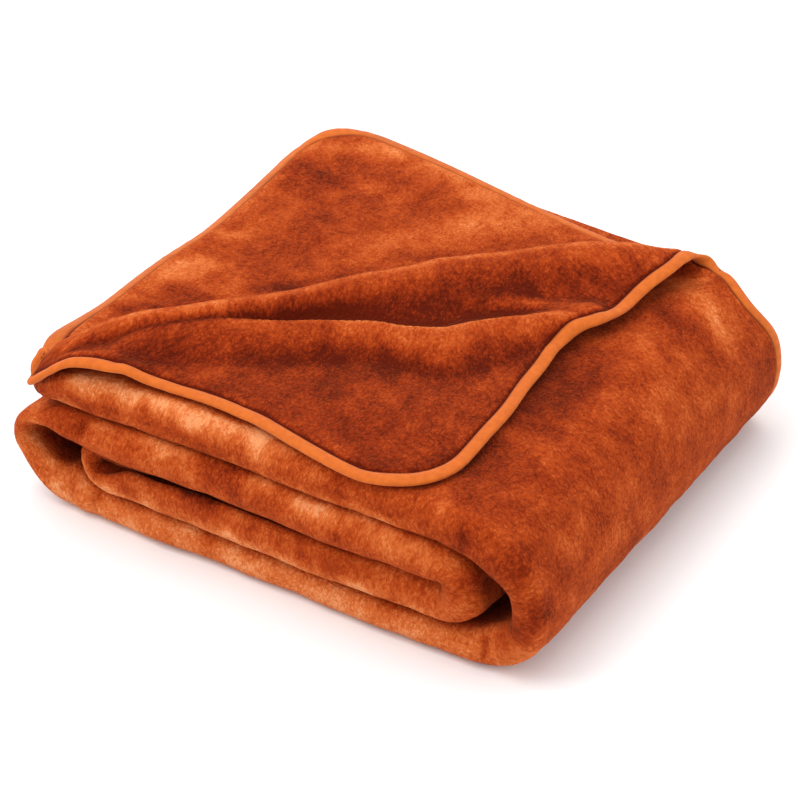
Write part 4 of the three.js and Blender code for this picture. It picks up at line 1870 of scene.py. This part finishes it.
class Nodes:
    """Short way to lay out one node tree."""

    FIRST_COLOUR, SECOND_COLOUR, MIXED_COLOUR = 6, 7, 2

    def __init__(self, tree: bpy.types.NodeTree) -> None:
        """Keeps the tree."""
        self.tree = tree

    def add(self, kind: str, **settings: object) -> bpy.types.Node:
        """Adds a node, with values for its settings and for its inputs.

        Args:
            kind: The node's type.
            settings: Settings by name. "in_" before a name or number stands for an input, which is linked to
                the socket given or set to the value given.

        Returns:
            The node.
        """
        node = self.tree.nodes.new(kind)
        for name, value in settings.items():
            if not name.startswith("in_"):
                setattr(node, name, value)
        for name, value in settings.items():
            if name.startswith("in_"):
                key = name[3:]
                self.feed(node.inputs[int(key) if key.isdigit() else key.replace("_", " ")], value)
        return node

    def feed(self, socket: bpy.types.NodeSocket, value: object) -> None:
        """Links an input to another node's output, or sets its value.

        Args:
            socket: The input.
            value: The output, or the value.
        """
        if isinstance(value, bpy.types.NodeSocket):
            self.tree.links.new(value, socket)
        else:
            socket.default_value = value

    def maths(self, operation: str, first: object, second: object = 0.0) -> bpy.types.NodeSocket:
        """Adds a Math node and gives its output."""
        return self.add("ShaderNodeMath", operation=operation, in_0=first, in_1=second).outputs[0]

    def blend(self, share: object, first: object, second: object) -> bpy.types.NodeSocket:
        """Adds a Mix node for colours and gives its output.

        Args:
            share: Share of the second colour.
            first: The first colour or its socket.
            second: The second colour or its socket.

        Returns:
            The output.
        """
        node = self.add("ShaderNodeMix", data_type="RGBA", in_0=share)
        for index, value in ((self.FIRST_COLOUR, first), (self.SECOND_COLOUR, second)):
            self.feed(node.inputs[index], value)
        return node.outputs[self.MIXED_COLOUR]

    def mottle(self, group: bpy.types.NodeTree, place: object, slow: SlowTone) -> bpy.types.NodeSocket:
        """Adds the shared group of slow tones and gives its output."""
        inputs = {"in_Vector": place, "in_Scale": slow.per_metre, "in_Strength": slow.strength}
        return self.add("ShaderNodeGroup", node_tree=group, **inputs).outputs[0]


def blank_material(name: str) -> tuple[bpy.types.Material, Nodes]:
    """A new material without nodes, and the way to lay out its tree.

    Args:
        name: Name of the material.

    Returns:
        The material, and the nodes of its tree.
    """
    material = bpy.data.materials.new(name)
    material.use_nodes = True
    material.node_tree.nodes.clear()
    return material, Nodes(material.node_tree)


def mottle_group() -> bpy.types.NodeTree:
    """Node group of slow lighter and darker places, which both finishes use.

    Returns:
        The group, with an input Vector, Scale and Strength and an output Tone around one half.
    """
    group = bpy.data.node_groups.new("mottle", "ShaderNodeTree")
    sockets = (("Vector", "INPUT", "Vector"), ("Scale", "INPUT", "Float"))
    sockets += (("Strength", "INPUT", "Float"), ("Tone", "OUTPUT", "Float"))
    for name, way, kind in sockets:
        group.interface.new_socket(name, in_out=way, socket_type="NodeSocket" + kind)
    nodes = Nodes(group)
    place, scale, strength = list(nodes.add("NodeGroupInput").outputs)[:3]
    slow = nodes.add("ShaderNodeTexNoise", in_Vector=place, in_Scale=scale, in_Detail=4.0)
    around = nodes.maths("SUBTRACT", slow.outputs[0], 0.5)
    tone = nodes.maths("ADD", nodes.maths("MULTIPLY", around, strength), 0.5)
    nodes.add("NodeGroupOutput", in_0=tone)
    return group


@dataclass(frozen=True)
class ToneStop:
    """Colour of the pile at one tone."""

    name: str
    place: float
    colour: Colour


@dataclass(frozen=True)
class PileTexture:
    """One texture of the pile: its grain, its middle value, and what it does to the tone and the height."""

    per_metre: float
    middle: float
    tone: float
    height: float


@dataclass(frozen=True)
class SlowTone:
    """Slow lighter and darker places: how many to the metre, and how strong."""

    per_metre: float
    strength: float


@dataclass(frozen=True)
class FlannelFinish:
    """Brushed plush pile: clumped tips, deep roots, patches where the pile lies the other way, painted light
    and shade.
    """

    # The dark stops also colour the painted shade, and the light stops the painted highlights, that the tone
    # attribute carries.
    stops: tuple[ToneStop, ...] = (
        ToneStop("roots", 0.12, srgb(88, 20, 2)),
        ToneStop("deep", 0.34, srgb(136, 42, 8)),
        ToneStop("body", 0.55, srgb(174, 67, 20)),
        ToneStop("tips", 0.8, srgb(208, 106, 50)),
        ToneStop("brushed", 1.0, srgb(230, 148, 96)),
    )
    clumps: PileTexture = PileTexture(560.0, 0.40, -0.34, -0.9)
    fibres: PileTexture = PileTexture(1150.0, 0.5, 0.56, 0.8)
    streaks: PileTexture = PileTexture(270.0, 0.5, 0.20, 1.2)
    patches: SlowTone = SlowTone(24.0, 0.54)
    clouds: SlowTone = SlowTone(62.0, 0.54)
    warp: float = 0.004
    pile_height: float = 0.0014
    pile_strength: float = 0.8
    sheen: Colour = srgb(255, 164, 104)

    def material(self, mottle: bpy.types.NodeTree) -> bpy.types.Material:
        """Makes the material.

        Args:
            mottle: The shared node group of slow tones.

        Returns:
            The material.
        """
        material, nodes = blank_material("plush_flannel")
        cloth = nodes.add("ShaderNodeUVMap", uv_map="cloth").outputs[0]
        grain = self.streaks.per_metre
        warp = nodes.add("ShaderNodeTexNoise", in_Vector=cloth, in_Scale=grain, in_Detail=2.0).outputs[1]
        offset = nodes.add("ShaderNodeVectorMath", operation="SCALE", in_0=warp, in_Scale=self.warp)
        moved = nodes.add("ShaderNodeVectorMath", operation="ADD", in_0=cloth, in_1=offset.outputs[0])
        warped = moved.outputs[0]
        clump = nodes.add(
            "ShaderNodeTexVoronoi", feature="SMOOTH_F1", in_Vector=warped, in_Scale=self.clumps.per_metre
        ).outputs[0]
        fibre = nodes.add(
            "ShaderNodeTexNoise",
            in_Vector=warped,
            in_Scale=self.fibres.per_metre,
            in_Detail=3.0,
            in_Roughness=0.6,
        ).outputs[0]
        streak = nodes.add("ShaderNodeTexNoise", in_Vector=warped, in_Scale=grain, in_Detail=4.0).outputs[0]
        # The cloth's tone, with painted light and shade in it.
        tone = nodes.add("ShaderNodeAttribute", attribute_name="nap", attribute_type="GEOMETRY").outputs[2]
        for slow in (self.patches, self.clouds):
            cloud = nodes.mottle(mottle, cloth, slow)
            tone = nodes.maths("ADD", tone, nodes.maths("SUBTRACT", cloud, 0.5))
        heights = []
        for output, texture in ((clump, self.clumps), (fibre, self.fibres), (streak, self.streaks)):
            around = nodes.maths("SUBTRACT", output, texture.middle)
            tone = nodes.maths("ADD", tone, nodes.maths("MULTIPLY", around, texture.tone))
            heights.append(nodes.maths("MULTIPLY", output, texture.height))
        height = nodes.maths("ADD", nodes.maths("ADD", heights[0], heights[1]), heights[2])
        bump = nodes.add(
            "ShaderNodeBump", in_Height=height, in_Strength=self.pile_strength, in_Distance=self.pile_height
        ).outputs[0]
        shader = nodes.add(
            "ShaderNodeBsdfPrincipled",
            in_Base_Color=self.ramp(nodes, tone),
            in_Normal=bump,
            in_Roughness=0.95,
            in_Specular_IOR_Level=0.08,
            in_Sheen_Weight=0.16,
            in_Sheen_Roughness=0.35,
            in_Sheen_Tint=self.sheen,
        )
        nodes.add("ShaderNodeOutputMaterial", in_0=shader.outputs[0])
        return material

    def ramp(self, nodes: Nodes, tone: bpy.types.NodeSocket) -> bpy.types.NodeSocket:
        """Adds the ramp from tone to colour and gives its output.

        Args:
            nodes: The material's nodes.
            tone: Where the tone comes from.

        Returns:
            The colour.
        """
        node = nodes.add("ShaderNodeValToRGB", in_0=tone)
        elements = node.color_ramp.elements
        for stop in self.stops[1:-1]:
            elements.new(stop.place)
        for element, stop in zip(list(elements), self.stops):
            element.position, element.color = stop.place, stop.colour
        return node.outputs[0]


@dataclass(frozen=True)
class BindingFinish:
    """Smooth matt tape with a fine weave, a little uneven where it was turned over the edge."""

    lit: Colour = srgb(210, 104, 22)
    shade: Colour = srgb(184, 84, 14)
    # Dark of the seam line, which also colours the painted shade on the tape.
    seam: Colour = srgb(112, 40, 8)
    slow: SlowTone = SlowTone(240.0, 1.6)
    weave_per_metre: float = 950.0
    weave_height: float = 0.0005
    weave_strength: float = 0.8
    tone_gain: float = 2.0

    def material(self, mottle: bpy.types.NodeTree) -> bpy.types.Material:
        """Makes the material.

        Args:
            mottle: The shared node group of slow tones.

        Returns:
            The material.
        """
        material, nodes = blank_material("binding_tape")
        place = nodes.add("ShaderNodeTexCoord").outputs["Object"]
        slow = nodes.mottle(mottle, place, self.slow)
        weave = nodes.add("ShaderNodeTexNoise", in_Vector=place, in_Scale=self.weave_per_metre).outputs[0]
        tone = nodes.add("ShaderNodeAttribute", attribute_name="nap", attribute_type="GEOMETRY").outputs[2]
        off_seam_and_painted_shade = nodes.maths("MULTIPLY", tone, self.tone_gain)
        bump = nodes.add(
            "ShaderNodeBump", in_Height=weave, in_Strength=self.weave_strength, in_Distance=self.weave_height
        ).outputs[0]
        shader = nodes.add(
            "ShaderNodeBsdfPrincipled",
            in_Base_Color=nodes.blend(off_seam_and_painted_shade, self.seam, nodes.blend(slow, self.shade, self.lit)),
            in_Normal=bump,
            in_Roughness=0.8,
            in_Specular_IOR_Level=0.3,
            in_Sheen_Weight=0.12,
            in_Sheen_Roughness=0.4,
        )
        nodes.add("ShaderNodeOutputMaterial", in_0=shader.outputs[0])
        return material


# --------------------------------------------------------------------------------------------------- studio


@dataclass(frozen=True)
class SoftBox:
    """A large soft lamp, placed by its direction and distance from the bundle."""

    name: str
    azimuth: float
    elevation: float
    distance: float
    size: float
    watts: float


@dataclass
class Studio:
    """Pale floor, soft light and the camera."""

    target: tuple[float, float, float] = (-0.01035, -0.00795, 0.0354)
    azimuth: float = 31.868
    elevation: float = 36.025
    distance: float = 2.0214
    lens: float = 145.04
    sensor: float = 36.0
    sees_to: float = 100.0
    floor_side: float = 9.0
    floor_height: float = -0.0004
    floor_grey: float = 0.93
    floor_roughness: float = 0.9
    sky: float = 0.84
    lamps: tuple[SoftBox, ...] = (
        SoftBox("key", -58.0, 58.0, 2.4, 2.1, 34.0),
        SoftBox("low front", -40.0, 18.0, 2.6, 1.2, 7.0),
        SoftBox("top", 180.0, 58.0, 2.6, 1.8, 20.0),
        SoftBox("right", 100.0, 28.0, 2.6, 2.2, 14.0),
    )

    def from_middle(self, azimuth: float, elevation: float, distance: float) -> Vector:
        """Place at a direction and distance from the target.

        Args:
            azimuth: Degrees from the front, towards the right.
            elevation: Degrees above the floor.
            distance: Metres from the target.

        Returns:
            The place.
        """
        a, e = math.radians(azimuth), math.radians(elevation)
        toward = Vector((math.sin(a) * math.cos(e), -math.cos(a) * math.cos(e), math.sin(e)))
        return Vector(self.target) + toward * distance

    def build(self) -> None:
        """Makes the floor, the light and the camera."""
        bpy.ops.object.select_all(action="DESELECT")
        bpy.ops.mesh.primitive_plane_add(size=self.floor_side, location=(0, 0, self.floor_height))
        floor = bpy.context.active_object
        floor.name = "studio_floor"
        paper = bpy.data.materials.new("studio_paper")
        paper.use_nodes = True
        shader = paper.node_tree.nodes["Principled BSDF"]
        shader.inputs["Base Color"].default_value = (self.floor_grey,) * 3 + (1.0,)
        shader.inputs["Roughness"].default_value = self.floor_roughness
        floor.data.materials.append(paper)
        world = bpy.data.worlds.new("studio_sky")
        world.use_nodes = True
        background = world.node_tree.nodes["Background"]
        background.inputs["Color"].default_value = (1.0, 1.0, 1.0, 1.0)
        background.inputs["Strength"].default_value = self.sky
        bpy.context.scene.world = world
        for box in self.lamps:
            self.lamp(box)
        self.camera()
        bpy.context.scene.view_settings.view_transform = "Standard"

    def hang(self, data: bpy.types.ID, azimuth: float, elevation: float, distance: float) -> bpy.types.Object:
        """Makes the object of a lamp or camera at a direction and distance, turned to the target.

        Args:
            data: The lamp or camera.
            azimuth: Degrees from the front, towards the right.
            elevation: Degrees above the floor.
            distance: Metres from the target.

        Returns:
            The object.
        """
        hung = bpy.data.objects.new(data.name, data)
        hung.location = self.from_middle(azimuth, elevation, distance)
        hung.rotation_euler = (Vector(self.target) - hung.location).to_track_quat("-Z", "Y").to_euler()
        bpy.context.scene.collection.objects.link(hung)
        return hung

    def lamp(self, box: SoftBox) -> None:
        """Hangs one lamp.

        Args:
            box: The lamp.
        """
        light = bpy.data.lights.new(box.name, "AREA")
        light.energy, light.size = box.watts, box.size
        self.hang(light, box.azimuth, box.elevation, box.distance)

    def camera(self) -> None:
        """Sets up the camera at the photograph's viewing angle."""
        data = bpy.data.cameras.new("camera")
        data.lens, data.sensor_width, data.sensor_fit = self.lens, self.sensor, "HORIZONTAL"
        data.clip_end = self.sees_to
        bpy.context.scene.camera = self.hang(data, self.azimuth, self.elevation, self.distance)


# ----------------------------------------------------------------------------------------------------- main


def main() -> None:
    logging.basicConfig(level=logging.INFO, format="%(name)s: %(message)s")
    bpy.ops.object.select_all(action="DESELECT")
    Studio().build()
    shape, mottle = BundleShape(), mottle_group()
    pieces = []
    for maker in (FlannelCloth(shape), EdgeBinding(shape)):
        piece = maker.build()
        maker.dress(piece, mottle)
        LOG.info("%s: %d triangles", piece.name, len(piece.data.polygons))
        pieces.append(piece)
    cloth, binding = pieces
    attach(cloth, "root")
    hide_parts("blanket_cloth")
    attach(binding, "root")
    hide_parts("edge_binding")
    bpy.context.view_layer.update()


if __name__ == "__main__":
    main()
